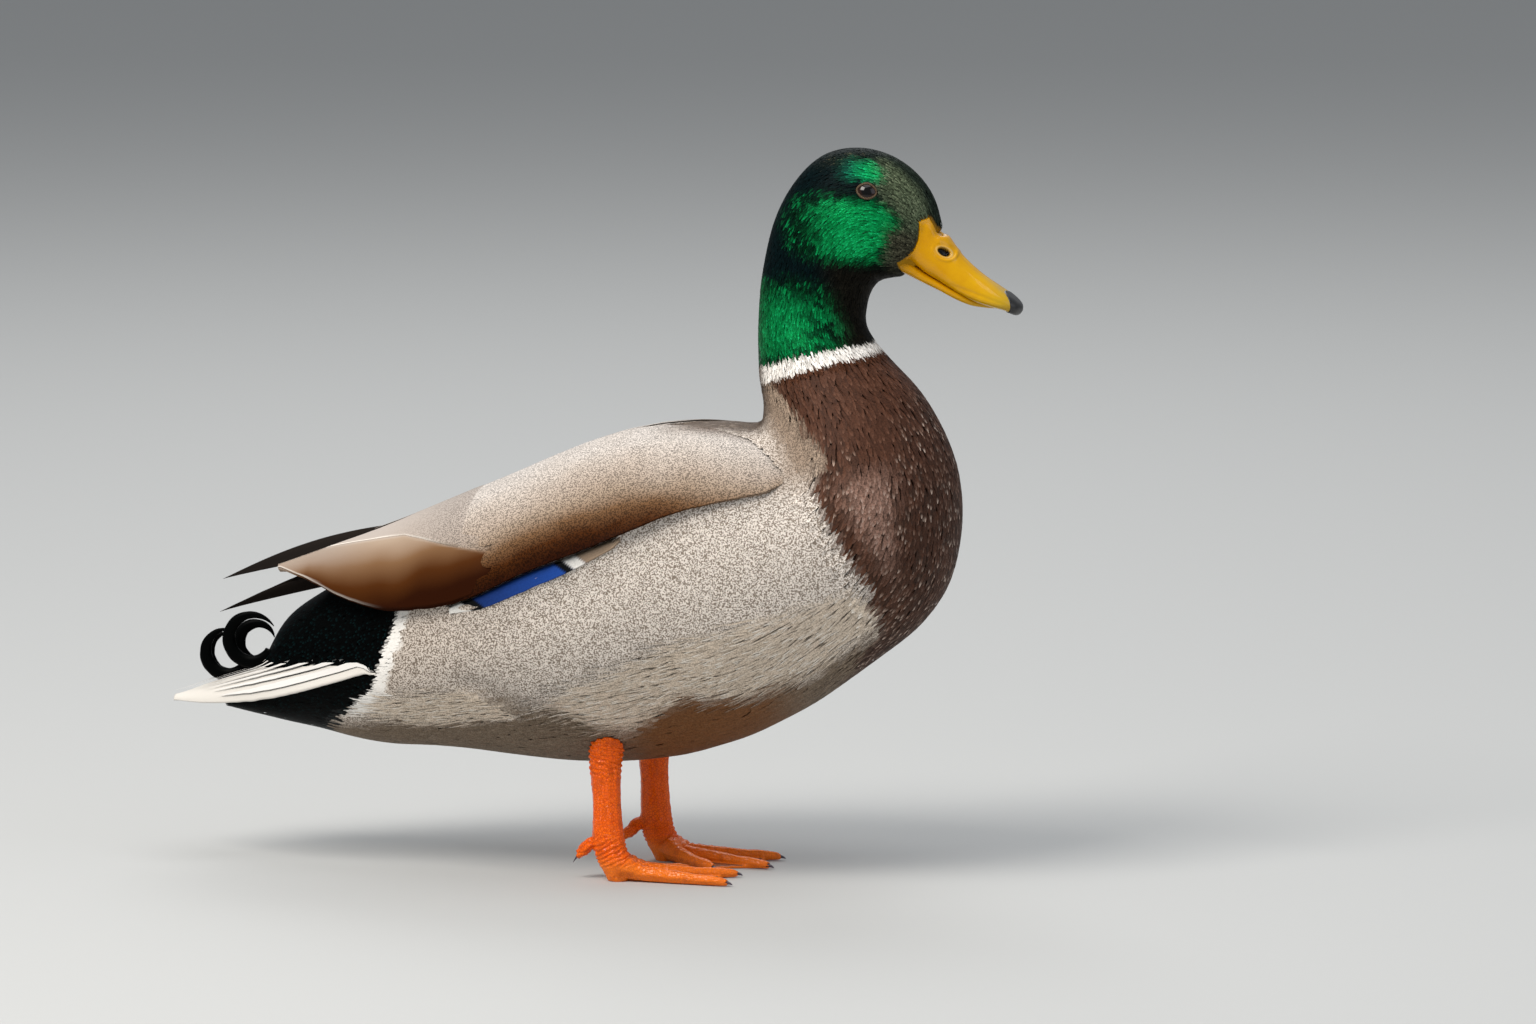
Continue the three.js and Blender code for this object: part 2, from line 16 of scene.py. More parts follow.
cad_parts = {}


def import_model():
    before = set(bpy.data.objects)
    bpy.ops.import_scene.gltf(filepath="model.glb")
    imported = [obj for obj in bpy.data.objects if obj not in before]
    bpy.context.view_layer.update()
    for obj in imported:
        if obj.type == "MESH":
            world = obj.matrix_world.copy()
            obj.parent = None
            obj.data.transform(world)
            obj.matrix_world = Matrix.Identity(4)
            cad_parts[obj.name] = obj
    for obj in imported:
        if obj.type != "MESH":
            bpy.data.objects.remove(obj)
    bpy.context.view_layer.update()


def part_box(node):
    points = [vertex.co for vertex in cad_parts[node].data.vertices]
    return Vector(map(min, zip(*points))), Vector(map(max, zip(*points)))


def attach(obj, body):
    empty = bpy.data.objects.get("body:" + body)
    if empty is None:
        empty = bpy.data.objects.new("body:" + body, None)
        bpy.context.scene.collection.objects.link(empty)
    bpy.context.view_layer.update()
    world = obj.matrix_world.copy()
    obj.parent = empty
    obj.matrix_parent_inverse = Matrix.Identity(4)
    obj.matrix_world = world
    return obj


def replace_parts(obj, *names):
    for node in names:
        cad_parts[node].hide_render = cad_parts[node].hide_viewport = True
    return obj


LOG = logging.getLogger("drake")
Array = np.ndarray
Layers = dict[str, Array]
Random = np.random.Generator
Row = tuple[float, ...]
Pair = tuple[float, float]
Socket = bpy.types.NodeSocket
Material = bpy.types.Material
Piece = bpy.types.Object
MM = 0.001
SEED = 7
BAKE_MAP = "OFBake"
BAKE_PATCH = 0.003  # how wide a feather's place is on the bake map
SCALE = 1.3  # mm across a scale of the leg's skin
LEAST_PITCH = 0.15  # mm between two points of a surface, so that no feather is stretched without end


class Side(Enum):
    """The duck's own right, which faces the camera, and left."""

    RIGHT = -1
    LEFT = 1

    @property
    def word(self) -> str:
        """The side as the frame's node names spell it."""
        return self.name.lower()


# ---------- numbers ----------
def linear(code: str) -> Array:
    """Red, green and blue in linear light of an sRGB colour, given as six hex digits after a hash."""
    value = np.array([int(code[i:i + 2], 16) / 255 for i in (1, 3, 5)])
    return np.where(value <= 0.04045, value / 12.92, ((value + 0.055) / 1.055) ** 2.4)


def rgba(code: str) -> Row:
    """The linear colour with full alpha, for a socket."""
    return (*linear(code), 1.0)


def ease(low: float, high: float, value: Array) -> Array:
    """Rises smoothly from 0 where the value is low to 1 where it is high, or falls if high is below low."""
    share = np.clip((value - low) / (high - low), 0, 1)
    return share * share * (3 - 2 * share)


def soften(grid: Array, reach: float, axis: int, wrap: bool) -> Array:
    """Smooths a grid along one axis with a bell curve.

    Args:
        grid: The values.
        reach: The bell's standard deviation in cells.
        axis: The axis.
        wrap: Whether it closes on itself.

    Returns:
        The smooth grid.
    """
    span = int(math.ceil(3 * reach))
    weights = np.exp(-0.5 * (np.arange(-span, span + 1) / reach) ** 2)
    weights /= weights.sum()
    pads = [(0, 0)] * grid.ndim
    pads[axis] = (span, span)
    padded = np.pad(grid, pads, mode="wrap" if wrap else "edge")
    size = grid.shape[axis]
    return sum(w * np.take(padded, range(i, i + size), axis) for i, w in enumerate(weights))


def smoothed(grid: Array, blur: Pair, wrap: bool) -> Array:
    """A grid softened along and across, where the columns may close on themselves."""
    return soften(soften(grid, blur[0], 0, False), blur[1], 1, wrap)


def unit(vectors: Array) -> Array:
    """The vectors at length 1."""
    return vectors / np.maximum(np.linalg.norm(vectors, axis=-1, keepdims=True), 1e-9)


def circle(count: int) -> Array:
    """Angles at even steps once round."""
    return np.linspace(0, 2 * math.pi, count, endpoint=False)


def bell(offset: Array, reach: float) -> Array:
    """A soft ridge: 1 where the offset is 0, fading to about a third at the reach."""
    return np.exp(-((offset / reach) ** 2))


def in_mm(corners: tuple) -> Array:
    """A box's low and high corner, from metres to mm."""
    return np.array(corners) / MM


def tinted(ground: Array, code: str, share: Array) -> Array:
    """Colours moved towards another one by a share from 0 to 1."""
    return ground + (linear(code) - ground) * share[..., None]


def spline(stations: Array, count: int, gaps: Array) -> Array:
    """Reads a smooth curve through rows of numbers at even steps.

    Args:
        stations: The rows that the curve passes through.
        count: How many points to read.
        gaps: The length given to each gap between rows.

    Returns:
        The points along the curve.
    """
    knots = np.concatenate([[0], np.cumsum(gaps)])
    at = np.linspace(0, knots[-1], count)
    slope = np.gradient(stations, knots, axis=0)
    i = np.clip(np.searchsorted(knots, at, side="right") - 1, 0, len(knots) - 2)
    width = (knots[i + 1] - knots[i])[:, None]
    t = (at - knots[i])[:, None] / width
    a, b = stations[i], stations[i + 1]
    da, db = slope[i] * width, slope[i + 1] * width
    return ((2 * t**3 - 3 * t**2 + 1) * a + (t**3 - 2 * t**2 + t) * da
            + (3 * t**2 - 2 * t**3) * b + (t**3 - t**2) * db)


# ---------- nodes ----------
class Recipe:
    """A material with one principled shader, and short ways to add the nodes that feed it."""

    def __init__(self, name: str) -> None:
        """Makes the material, with its shader linked to the surface."""
        self.material = bpy.data.materials.new(name)
        self.material.use_nodes = True
        self.tree = self.material.node_tree
        self.tree.nodes.clear()
        self.shader = self.add("BsdfPrincipled")
        self.feed(self.add("OutputMaterial"), {"Surface": self.shader.outputs["BSDF"]})

    def feed(self, node: bpy.types.Node, inputs: dict) -> None:
        """Sets a node's inputs to numbers or colour codes, or links them to the outputs given."""
        for name, value in inputs.items():
            if isinstance(value, Socket):
                self.tree.links.new(value, node.inputs[name])
            else:
                node.inputs[name].default_value = rgba(value) if isinstance(value, str) else value

    def add(self, kind: str, inputs: dict | None = None, **settings: object) -> bpy.types.Node:
        """Adds a shader node.

        Args:
            kind: The node's type without its ShaderNode prefix.
            inputs: What its inputs are set to, as for feed.
            **settings: Properties of the node. stops gives a colour ramp's places and colours.

        Returns:
            The new node.
        """
        node = self.tree.nodes.new("ShaderNode" + kind)
        for number, (place, code) in enumerate(settings.pop("stops", ())):
            ramp = node.color_ramp.elements
            stop = ramp[number] if number < len(ramp) else ramp.new(place)
            stop.position, stop.color = place, rgba(code)
        for name, value in settings.items():
            setattr(node, name, value)
        self.feed(node, inputs or {})
        return node

    def finish(self, inputs: dict) -> Material:
        """Sets or links the shader's own inputs, and hands over the material."""
        self.feed(self.shader, inputs)
        return self.material

    def where(self) -> Socket:
        """Places in the duck's own space, in m."""
        return self.add("TexCoord").outputs["Object"]

    def colour(self, layer: str) -> Socket:
        """A painted layer as a colour."""
        return self.add("Attribute", attribute_name=layer).outputs["Color"]

    def channels(self, layer: str) -> list[Socket]:
        """A painted layer as its three numbers."""
        return list(self.add("SeparateColor", {0: self.colour(layer)}).outputs)

    def noise(self, scale: float, detail: float, **inputs: object) -> Socket:
        """Random clouds, so many to the metre; inputs are the node's others."""
        return self.add("TexNoise", {"Scale": scale, "Detail": detail, **inputs}).outputs[0]

    def math(self, way: str, *values: object) -> Socket:
        """What two or three numbers come to, where Blender names the way to work it out."""
        return self.add("Math", dict(enumerate(values)), operation=way).outputs[0]

    def span(self, value: Socket, start: float = 0.0, stop: float = 1.0, low: float = 0.0,
             high: float = 1.0, soft: bool = False) -> Socket:
        """A number mapped from start and stop to low and high, with both ends eased if soft."""
        inputs = {0: value, 1: start, 2: stop, 3: low, 4: high}
        return self.add("MapRange", inputs, interpolation_type="SMOOTHSTEP" if soft else "LINEAR").outputs[0]

    def blend(self, share: object, first: object, second: object, way: str = "MIX") -> Socket:
        """The first colour with a share of the second."""
        inputs = {0: share, 6: first, 7: second}
        return self.add("Mix", inputs, data_type="RGBA", blend_type=way).outputs[2]

    def ramp(self, value: Socket, *stops: tuple[float, str]) -> Socket:
        """The colour that a number stands for, between the stops."""
        return self.add("ValToRGB", {0: value}, stops=stops).outputs[0]

    def bump(self, height: Socket, strength: float, depth: float) -> Socket:
        """Small relief, as deep in mm as stated."""
        inputs = {"Strength": strength, "Distance": depth * MM, "Height": height}
        return self.add("Bump", inputs).outputs[0]


# ---------- meshes ----------
def placed(name: str, data: bpy.types.ID) -> Piece:
    """A new object in the scene."""
    made = bpy.data.objects.new(name, data)
    bpy.context.scene.collection.objects.link(made)
    return made


def read_mesh(parts: Any, name: str, width: int = 3, kind: type = float) -> Array:
    """One property of a mesh's vertices or triangles, as rows of so many numbers of a kind."""
    values = np.empty(len(parts) * width, dtype=kind)
    parts.foreach_get(name, values)
    return values.reshape(-1, width)


def stacked(first: Array | int, *others: Array) -> Array:
    """Triangles from three columns of point numbers; the first may be one point for all."""
    return np.stack([np.broadcast_to(first, others[0].shape), *others], -1)


@dataclass
class Cloth:
    """Points and triangles of one piece, with what its finish reads at each point."""

    points: Array
    faces: Array
    layers: Layers = field(default_factory=dict)
    chart: Array | None = None
    lie: Array | None = None  # the way each point faces, where feathers knit into one smooth surface

    def piece(self, name: str, finish: Material, slot: str) -> Piece:
        """Makes the Blender object, which rides on the duck's one body.

        Args:
            name: The piece's name.
            finish: Its material.
            slot: Not used.

        Returns:
            The linked object.
        """
        mesh = bpy.data.meshes.new(name)
        mesh.vertices.add(len(self.points))
        mesh.vertices.foreach_set("co", (self.points * MM).astype(np.float32).ravel())
        mesh.loops.add(self.faces.size)
        mesh.loops.foreach_set("vertex_index", self.faces.astype(np.int32).ravel())
        mesh.polygons.add(len(self.faces))
        mesh.polygons.foreach_set("loop_start", np.arange(0, self.faces.size, 3, dtype=np.int32))
        mesh.polygons.foreach_set("use_smooth", np.ones(len(self.faces), dtype=bool))
        mesh.update(calc_edges=True)
        for layer, values in self.layers.items():
            kept = mesh.attributes.new(layer, "FLOAT_COLOR", "POINT")
            padded = np.ones((len(values), 4), dtype=np.float32)
            padded[:, :3] = values
            kept.data.foreach_set("color", padded.ravel())
        if self.chart is not None:
            chart = mesh.uv_layers.new(name=BAKE_MAP)
            chart.data.foreach_set("uv", self.chart[self.faces.ravel()].astype(np.float32).ravel())
        if self.lie is not None:
            mesh.normals_split_custom_set_from_vertices(self.lie.tolist())
        mesh.materials.append(finish)
        piece = placed(name, mesh)
        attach(piece, "root")
        LOG.info("%s: %d triangles", name, len(self.faces))
        return piece

    def outward(self) -> "Cloth":
        """Turns the faces over if they enclose a negative volume."""
        a, b, c = (self.points[self.faces[:, i]] for i in range(3))
        if np.einsum("ij,ij->i", a, np.cross(b, c)).sum() < 0:
            self.faces = self.faces[:, ::-1]
        return self


def joined(parts: list[Cloth]) -> Cloth:
    """Puts several cloths into one, keeping the layers that they all have."""
    starts = np.cumsum([0] + [len(p.points) for p in parts[:-1]])
    faces = np.concatenate([p.faces + s for p, s in zip(parts, starts)])
    layers = {k: np.concatenate([p.layers[k] for p in parts]) for k in parts[0].layers}
    charted = all(p.chart is not None for p in parts)
    chart = np.concatenate([p.chart for p in parts]) if charted else None
    lie = None if any(p.lie is None for p in parts) else np.concatenate([p.lie for p in parts])
    return Cloth(np.concatenate([p.points for p in parts]), faces, layers, chart, lie)


def sheet_faces(rows: int, columns: int) -> Array:
    """Triangles over rows of points that each close into a ring."""
    i, j = np.meshgrid(np.arange(rows - 1), np.arange(columns), indexing="ij")
    a = i * columns + j
    b = i * columns + (j + 1) % columns
    first = stacked(a, b, a + columns).reshape(-1, 3)
    second = stacked(b, b + columns, a + columns).reshape(-1, 3)
    return np.concatenate([first, second])


def tube(points: Array, layers: Layers | None = None) -> Cloth:
    """A closed tube through rings of points, capped at both ends.

    Args:
        points: Ring by ring, as rows, points and coordinates.
        layers: Values to carry for each point of the rings.

    Returns:
        The tube with its faces outwards.
    """
    rows, sides = points.shape[:2]
    flat = points.reshape(-1, 3)
    ends = np.array([points[0].mean(0), points[-1].mean(0)])
    j = np.arange(sides)
    k = (j + 1) % sides
    total, last = rows * sides, (rows - 1) * sides
    caps = [stacked(total, k, j), stacked(total + 1, last + j, last + k)]
    faces = np.concatenate([sheet_faces(rows, sides), *caps])
    full = {}
    for name, values in (layers or {}).items():
        grid = values.reshape(rows, sides, 3)
        tips = np.array([grid[0].mean(0), grid[-1].mean(0)])
        full[name] = np.concatenate([values.reshape(-1, 3), tips])
    round_once = np.linspace(0, 1, sides, endpoint=False)
    v, u = np.meshgrid(np.linspace(0, 1, rows), round_once, indexing="ij")
    chart = np.concatenate([np.stack([u, v], -1).reshape(-1, 2), [[0.5, 0], [0.5, 1]]])
    return Cloth(np.concatenate([flat, ends]), faces, full, chart).outward()


# ---------- measuring the frame ----------
class Probe:
    """Casts rays at some of the frame's solids to find their outermost surface."""

    BRIDGE = 4.0  # mm: a narrower gap than this between two solids is bridged
    LIMIT = 200.0

    def __init__(self, nodes: list[str]) -> None:
        """Gathers the CAD nodes to measure into one search tree."""
        corners: list[Array] = []
        self.faces: list[tuple[int, ...]] = []
        self.owner: list[str] = []
        for name in nodes:
            mesh = bpy.data.objects[name].data
            count = sum(len(part) for part in corners)
            corners.append(read_mesh(mesh.vertices, "co") / MM)
            self.faces += [tuple(v + count for v in p.vertices) for p in mesh.polygons]
            self.owner += [name] * len(mesh.polygons)
        self.points = np.concatenate(corners)
        self.tree = BVHTree.FromPolygons([Vector(p) for p in self.points], self.faces)

    def reach(self, start: Vector, way: Vector) -> tuple[float, str]:
        """Finds how far the solids go along a ray before a gap wider than BRIDGE.

        Args:
            start: Where the ray begins, in mm.
            way: Its direction, at length 1.

        Returns:
            The distance, or nan if nothing is met, and the node there.
        """
        far, owner, at = math.nan, "", 0.0
        while True:
            hit = self.tree.ray_cast(start + way * (at + 1e-3), way, self.LIMIT)
            if hit[0] is None:
                return far, owner
            at += 1e-3 + hit[3]
            if hit[1].dot(way) > 0:
                far, owner = at, self.owner[hit[2]]
            elif not math.isnan(far) and at - far > self.BRIDGE:
                return far, owner


class Surface:
    """A grid of points on the duck, read anywhere by its row and column, with outward normals."""

    def __init__(self, points: Array, wrap: bool, face: int = 1) -> None:
        """Works out the normals and the size of the grid's cells.

        Args:
            points: Rows from the tail end forwards, columns across, and coordinates in mm.
            wrap: Whether the columns close into a ring.
            face: -1 where the columns run the other way round.
        """
        self.points, self.wrap = points, wrap
        self.rows, self.columns = points.shape[:2]
        along = np.gradient(points, axis=0)
        if wrap:
            across = (np.roll(points, -1, 1) - np.roll(points, 1, 1)) / 2
        else:
            across = np.gradient(points, axis=1)
        self.normals = unit(np.cross(along, across)) * face
        self.pitch = np.stack([np.linalg.norm(along, axis=-1), np.linalg.norm(across, axis=-1)], -1)

    def read(self, grid: Array, row: Array, column: Array) -> Array:
        """Reads a grid of values on the surface, blended between its rows and columns."""
        row = np.clip(row, 0, self.rows - 1.001)
        i = row.astype(int)
        f = (row - i)[..., None]
        column = np.mod(column, self.columns) if self.wrap else np.clip(column, 0, self.columns - 1.001)
        j = column.astype(int) % self.columns
        k = (j + 1) % self.columns
        g = (column - np.floor(column))[..., None]
        low = grid[i, j] * (1 - g) + grid[i, k] * g
        high = grid[i + 1, j] * (1 - g) + grid[i + 1, k] * g
        return low * (1 - f) + high * f

    def at(self, row: Array, column: Array) -> Array:
        """The surface's points at some rows and columns."""
        return self.read(self.points, row, column)

    def facing(self, row: Array, column: Array) -> Array:
        """The way that it faces there, at length 1."""
        return unit(self.read(self.normals, row, column))

    def cell(self, row: Array, column: Array) -> Array:
        """The size in mm of its cells there, along and across."""
        return self.read(self.pitch, row, column)

    def scatter(self, spacing: float, wanted: Array, rng: Random) -> tuple[Array, Array]:
        """Spreads roots evenly but not in rows, none nearer to another than the spacing.

        Args:
            spacing: The least distance between roots, in mm.
            wanted: For each row and column, whether roots may stand there.
            rng: The source of random numbers.

        Returns:
            The roots' rows and columns.
        """
        area = self.pitch[..., 0] * self.pitch[..., 1] * wanted
        area[-1] = 0
        if not self.wrap:
            area[:, -1] = 0
        tries = int(area.sum() / spacing**2 * 6)
        cells = rng.choice(area.size, size=tries, p=(area / area.sum()).ravel())
        rows = cells // self.columns + rng.random(tries)
        columns = cells % self.columns + rng.random(tries)
        points = self.at(rows, columns)
        keys = np.floor(points / spacing).astype(int)
        near = list(itertools.product((-1, 0, 1), repeat=3))
        taken: dict[tuple[int, ...], list[list[float]]] = {}
        kept = []
        for n, (key, point) in enumerate(zip(map(tuple, keys.tolist()), points.tolist())):
            boxes = ((key[0] + a, key[1] + b, key[2] + c) for a, b, c in near)
            if all(math.dist(point, other) >= spacing for box in boxes for other in taken.get(box, ())):
                taken.setdefault(key, []).append(point)
                kept.append(n)
        return rows[kept], columns[kept]


def filled(reach: Array) -> Array:
    """Fills the gaps in measured distances from the rows on either side."""
    out = reach.copy()
    at = np.arange(len(out))
    for j in range(out.shape[1]):
        good = ~np.isnan(out[:, j])
        out[:, j] = np.interp(at, at[good], out[good, j])
    return out


@dataclass(frozen=True)
class Spine:
    """Where a long part is cut into sections: x, z and how far the section leans back, in degrees."""

    stations: tuple[tuple[float, float, float], ...]
    rows: int
    sides: int
    swing: float = 40.0  # mm of length that a radian of turn counts for

    def sections(self) -> tuple[Array, Array]:
        """Places the sections along the part.

        Returns:
            The middle of each section, and the direction of its upper side.
        """
        stations = np.array(self.stations, dtype=float)
        stations[:, 2] = np.radians(stations[:, 2])
        steps = np.diff(stations, axis=0)
        length = np.hypot(steps[:, 0], steps[:, 1]) + self.swing * np.abs(steps[:, 2])
        x, z, lean = spline(stations, self.rows, length).T
        middle = np.stack([x, 0 * x, z], -1)
        return middle, np.stack([-np.sin(lean), 0 * x, np.cos(lean)], -1)

    def measure(self, probe: Probe, blur: Pair) -> tuple[Surface, Array]:
        """Measures the solids all round, section by section, and makes both sides alike.

        Args:
            probe: What to measure.
            blur: How far the facets are smoothed along and round, in cells.

        Returns:
            The smooth surface, and the name of the node met at each of its points.
        """
        middle, up = self.sections()
        turn = circle(self.sides)
        across = np.array([0, 1, 0])
        ways = np.cos(turn)[None, :, None] * up[:, None] + np.sin(turn)[None, :, None] * across
        reach = np.empty((self.rows, self.sides))
        owner = np.empty((self.rows, self.sides), dtype=object)
        for i in range(self.rows):
            start = Vector(middle[i])
            for j in range(self.sides):
                reach[i, j], owner[i, j] = probe.reach(start, Vector(ways[i, j]))
        reach = filled(reach)
        reach = (reach + np.roll(reach[:, ::-1], 1, 1)) / 2
        reach = smoothed(reach, blur, True)
        return Surface(middle[:, None] + reach[..., None] * ways, True), owner


# ---------- feathers ----------
@dataclass(frozen=True)
class Vane:
    """The shape that one kind of feather is cut to: a thin closed blade, rounded at the tip."""

    stations: Row  # shares of the length
    widths: Row  # share of the full width at each station
    ring: int  # points round each section
    camber: float  # mm that the blade bulges in the middle
    sink: float  # mm that the root lies under the surface
    lift: float  # mm that the tip stands over it
    knit: float  # vanes face as their surface does, but for this much roundness across

    def pattern(self) -> tuple[Array, Array, Array, Array]:
        """Lays out one blade.

        Returns:
            Share of the length, share of the half width and height in mm of each point, and the faces.
        """
        turn = 2 * math.pi * np.arange(self.ring) / self.ring
        u = np.repeat(self.stations, self.ring)
        w = np.repeat(self.widths, self.ring)
        v = w * np.tile(np.cos(turn), len(self.stations))
        bulge = np.where(np.sin(turn) > 0, np.sin(turn), 0.5 * np.sin(turn))
        high = self.camber * w * np.tile(bulge, len(self.stations))
        u = np.concatenate([u, [self.stations[0] - 0.04, 1.0]])
        v = np.concatenate([v, [0, 0]])
        high = np.concatenate([high, [0, 0]])
        rise = -self.sink * (1 - np.clip(u / 0.5, 0, 1)) ** 1.5 + self.lift * np.clip(u, 0, 1) ** 2
        count = len(self.stations) * self.ring
        j = np.arange(self.ring)
        k = (j + 1) % self.ring
        last = count - self.ring
        caps = [stacked(count, k, j), stacked(count + 1, last + j, last + k)]
        # The underside is cut along the same diagonals as the top, and stays under it in a twisted vane.
        a, b = (self.ring * np.arange(len(self.stations) - 1)[:, None] + n for n in (j, k))
        c, d = a + self.ring, b + self.ring
        top = np.concatenate([np.stack([a, b, c], -1), np.stack([b, d, c], -1)], -1)
        under = np.concatenate([np.stack([a, b, d], -1), np.stack([a, d, c], -1)], -1)
        sides = np.where(j[:, None] >= self.ring / 2, under, top).reshape(-1, 3)
        return u, v, high + rise, np.concatenate([sides, *caps])


@dataclass
class Roots:
    """Where feathers stand on a surface, and the size and lie of each."""

    row: Array
    column: Array
    length: Array
    width: Array
    heading: Array  # radians away from straight back, towards higher columns
    lift: Array  # mm that the tip is raised by, on top of the vane's own lift
    chance: Array  # a number of its own from 0 to 1

    def keep(self, chosen: Array) -> "Roots":
        """The chosen ones alone."""
        return Roots(*(getattr(self, name)[chosen] for name in self.__dataclass_fields__))


def lay(surface: Surface, vane: Vane, roots: Roots) -> Cloth:
    """Lays feathers along a surface, tips towards the tail.

    Args:
        surface: What they lie on.
        vane: The shape of each.
        roots: Where they stand.

    Returns:
        All of them as one cloth, with the layer vane: reach, side and chance.
    """
    u, v, high, pattern = vane.pattern()
    pitch = np.maximum(surface.cell(roots.row, roots.column), LEAST_PITCH)
    long = roots.length[:, None] * u
    wide = roots.width[:, None] / 2 * v
    cos, sin = np.cos(roots.heading)[:, None], np.sin(roots.heading)[:, None]
    row = roots.row[:, None] + (-long * cos + wide * sin) / pitch[:, :1]
    column = roots.column[:, None] + (long * sin + wide * cos) / pitch[:, 1:]
    points, normals = surface.at(row, column), surface.facing(row, column)
    height = high + roots.lift[:, None] * np.clip(u, 0, 1) ** 2
    points = points + normals * height[..., None]
    count, size = row.shape
    faces = (pattern[None] + (np.arange(count) * size)[:, None, None]).reshape(-1, 3)
    one = np.ones((count, 1))
    reach = np.stack([one * u, one * np.abs(v), np.broadcast_to(roots.chance[:, None], row.shape)], -1)
    place = np.stack([roots.column / surface.columns, roots.row / surface.rows], -1)
    place = place[:, None] + BAKE_PATCH * np.stack([one * v / 2, one * (0.5 - u)], -1)
    along = unit(points[:, -1] - points[:, -2])[:, None]
    lie = unit(normals + vane.knit * v[None, :, None] * np.cross(normals, along)).reshape(-1, 3)
    chart = np.clip(place, 0, 1).reshape(-1, 2)
    return Cloth(points.reshape(-1, 3), faces, {"vane": reach.reshape(-1, 3)}, chart, lie).outward()


# ---------- markings ----------
@dataclass(frozen=True)
class Plume:
    """One patch of plumage: ground colour, bars, feather tips, and how strong bars, tips and gloss are."""

    ground: str
    bar: str
    tip: str
    barring: float = 0.0
    tipping: float = 0.0
    gloss: float = 0.0

    def layers(self) -> Layers:
        """The plume as layer values: three colours, and the three strengths as marks."""
        marks = np.array([self.barring, self.tipping, self.gloss])
        colours = {name: linear(getattr(self, name)) for name in ("ground", "bar", "tip")}
        return {**colours, "marks": marks}


class Patch(Enum):
    """The drake's patches of plumage."""

    FLANK = Plume("#e4dad0", "#877a6d", "#e6ddd3", 1.0, 0.05)
    REAR = Plume("#d3c7bb", "#776a5e", "#d8cec3", 1.0, 0.05)
    LOWER = Plume("#e0cfbb", "#7c6a56", "#f4eee4", 0.40, 0.85)
    # Painted shade: the belly's warm brown and the underside's darker grey-brown, on plumage that is pale
    # grey.
    BELLY = Plume("#79502f", "#56381f", "#8c6a4c", 0.60, 0.20)
    UNDER = Plume("#7d6d5b", "#54463a", "#a39381", 0.70, 0.30)
    SHOULDER = Plume("#9c8876", "#64564a", "#b5a696", 0.80, 0.10)
    MANTLE = Plume("#5d4e42", "#3f342c", "#a39484", 0.80, 0.50)
    CHESTNUT = Plume("#503122", "#3c2316", "#8a6552", 0.60, 0.20, 0.05)
    # Painted highlight: the paler middle of the breast where it faces the light, with pale feather tips.
    VIOLET = Plume("#8c6c5e", "#553f34", "#bda79b", 0.60, 0.45, 0.05)
    # Darker than the chestnut: painted shade on the breast's front edge and underside, with the real pale
    # flecks.
    FLECKED = Plume("#432c20", "#26160e", "#c4ae9e", 0.50, 0.80, 0.05)
    RING = Plume("#f2ede6", "#cfc3b8", "#ffffff", 0.20, 0.30)
    WHITE = Plume("#f6f2ec", "#d5ccc1", "#ffffff", 0.15, 0.30)
    # BLACK's teal tip colour is a painted sheen on the black feathers.
    BLACK = Plume("#010202", "#030303", "#0a2527", 0.20, 0.60, 0.30)
    CROWN = Plume("#031012", "#010506", "#061f22", 0.30, 0.40, 0.15)
    SPECKLED = Plume("#1c241c", "#06100c", "#7a6a4c", 0.60, 0.70, 0.20)
    # Painted reflection of the glossy head: bright emerald, teal over the eye, and dim green.
    EMERALD = Plume("#0a974f", "#065c2e", "#20cc82", 0.35, 0.60, 1.00)
    TEAL = Plume("#075c46", "#043226", "#149270", 0.40, 0.50, 0.90)
    DEEP = Plume("#042c16", "#010805", "#0e7a40", 0.60, 0.35, 0.60)
    OLIVE = Plume("#525d47", "#1d2217", "#82896e", 0.60, 0.50, 0.25)
    LORE = Plume("#424234", "#171610", "#77755f", 0.60, 0.50, 0.10)
    THROAT = Plume("#14120d", "#040504", "#2c281e", 0.50, 0.30, 0.10)
    NAPE = Plume("#6a5142", "#33251c", "#9b8779", 0.60, 0.60)


def plain(ground: Array, bar: float = 0.6, marks: Row = (0, 0, 0)) -> Layers:
    """Layers of one colour at each point, with bars so much darker and the same marks all over."""
    return {"ground": ground, "bar": ground * bar, "tip": ground, "marks": 0 * ground + marks}


class Paint:
    """The layers of some points, on which patches are laid one over another; y is without its sign."""

    def __init__(self, points: Array, base: Patch) -> None:
        """Starts with one patch all over."""
        self.points = points
        self.x, self.y, self.z = points[..., 0], np.abs(points[..., 1]), points[..., 2]
        shape = (*points.shape[:-1], 3)
        self.layers = {k: np.broadcast_to(v, shape).copy() for k, v in base.value.layers().items()}

    def over(self, patch: Patch, share: Array) -> None:
        """Lays a share of a patch over what is there."""
        for layer, value in patch.value.layers().items():
            self.layers[layer] += (value - self.layers[layer]) * share[..., None]


def in_front(points: Array, heights: Row, border: Row) -> Array:
    """How far in front of a border each point lies, in mm, where the border has an x at each height."""
    return points[..., 0] - np.interp(points[..., 2], heights, border)


@dataclass(frozen=True)
class Outline:
    """A closed outline in side view, as corners of x and z in mm."""

    corners: tuple[Pair, ...]

    def depth(self, points: Array) -> Array:
        """How far inside the outline each point lies, in mm, and less than 0 outside."""
        x, z = points[..., 0], points[..., 2]
        near = np.full(x.shape, 1e9)
        inside = np.zeros(x.shape, dtype=bool)
        for (ax, az), (bx, bz) in zip(self.corners, self.corners[1:] + self.corners[:1]):
            ex, ez = bx - ax, bz - az
            share = np.clip(((x - ax) * ex + (z - az) * ez) / (ex * ex + ez * ez), 0, 1)
            near = np.minimum(near, np.hypot(x - ax - share * ex, z - az - share * ez))
            inside ^= ((az > z) != (bz > z)) & (x < ax + ex * (z - az) / (ez or 1.0))
        return np.where(inside, near, -near)


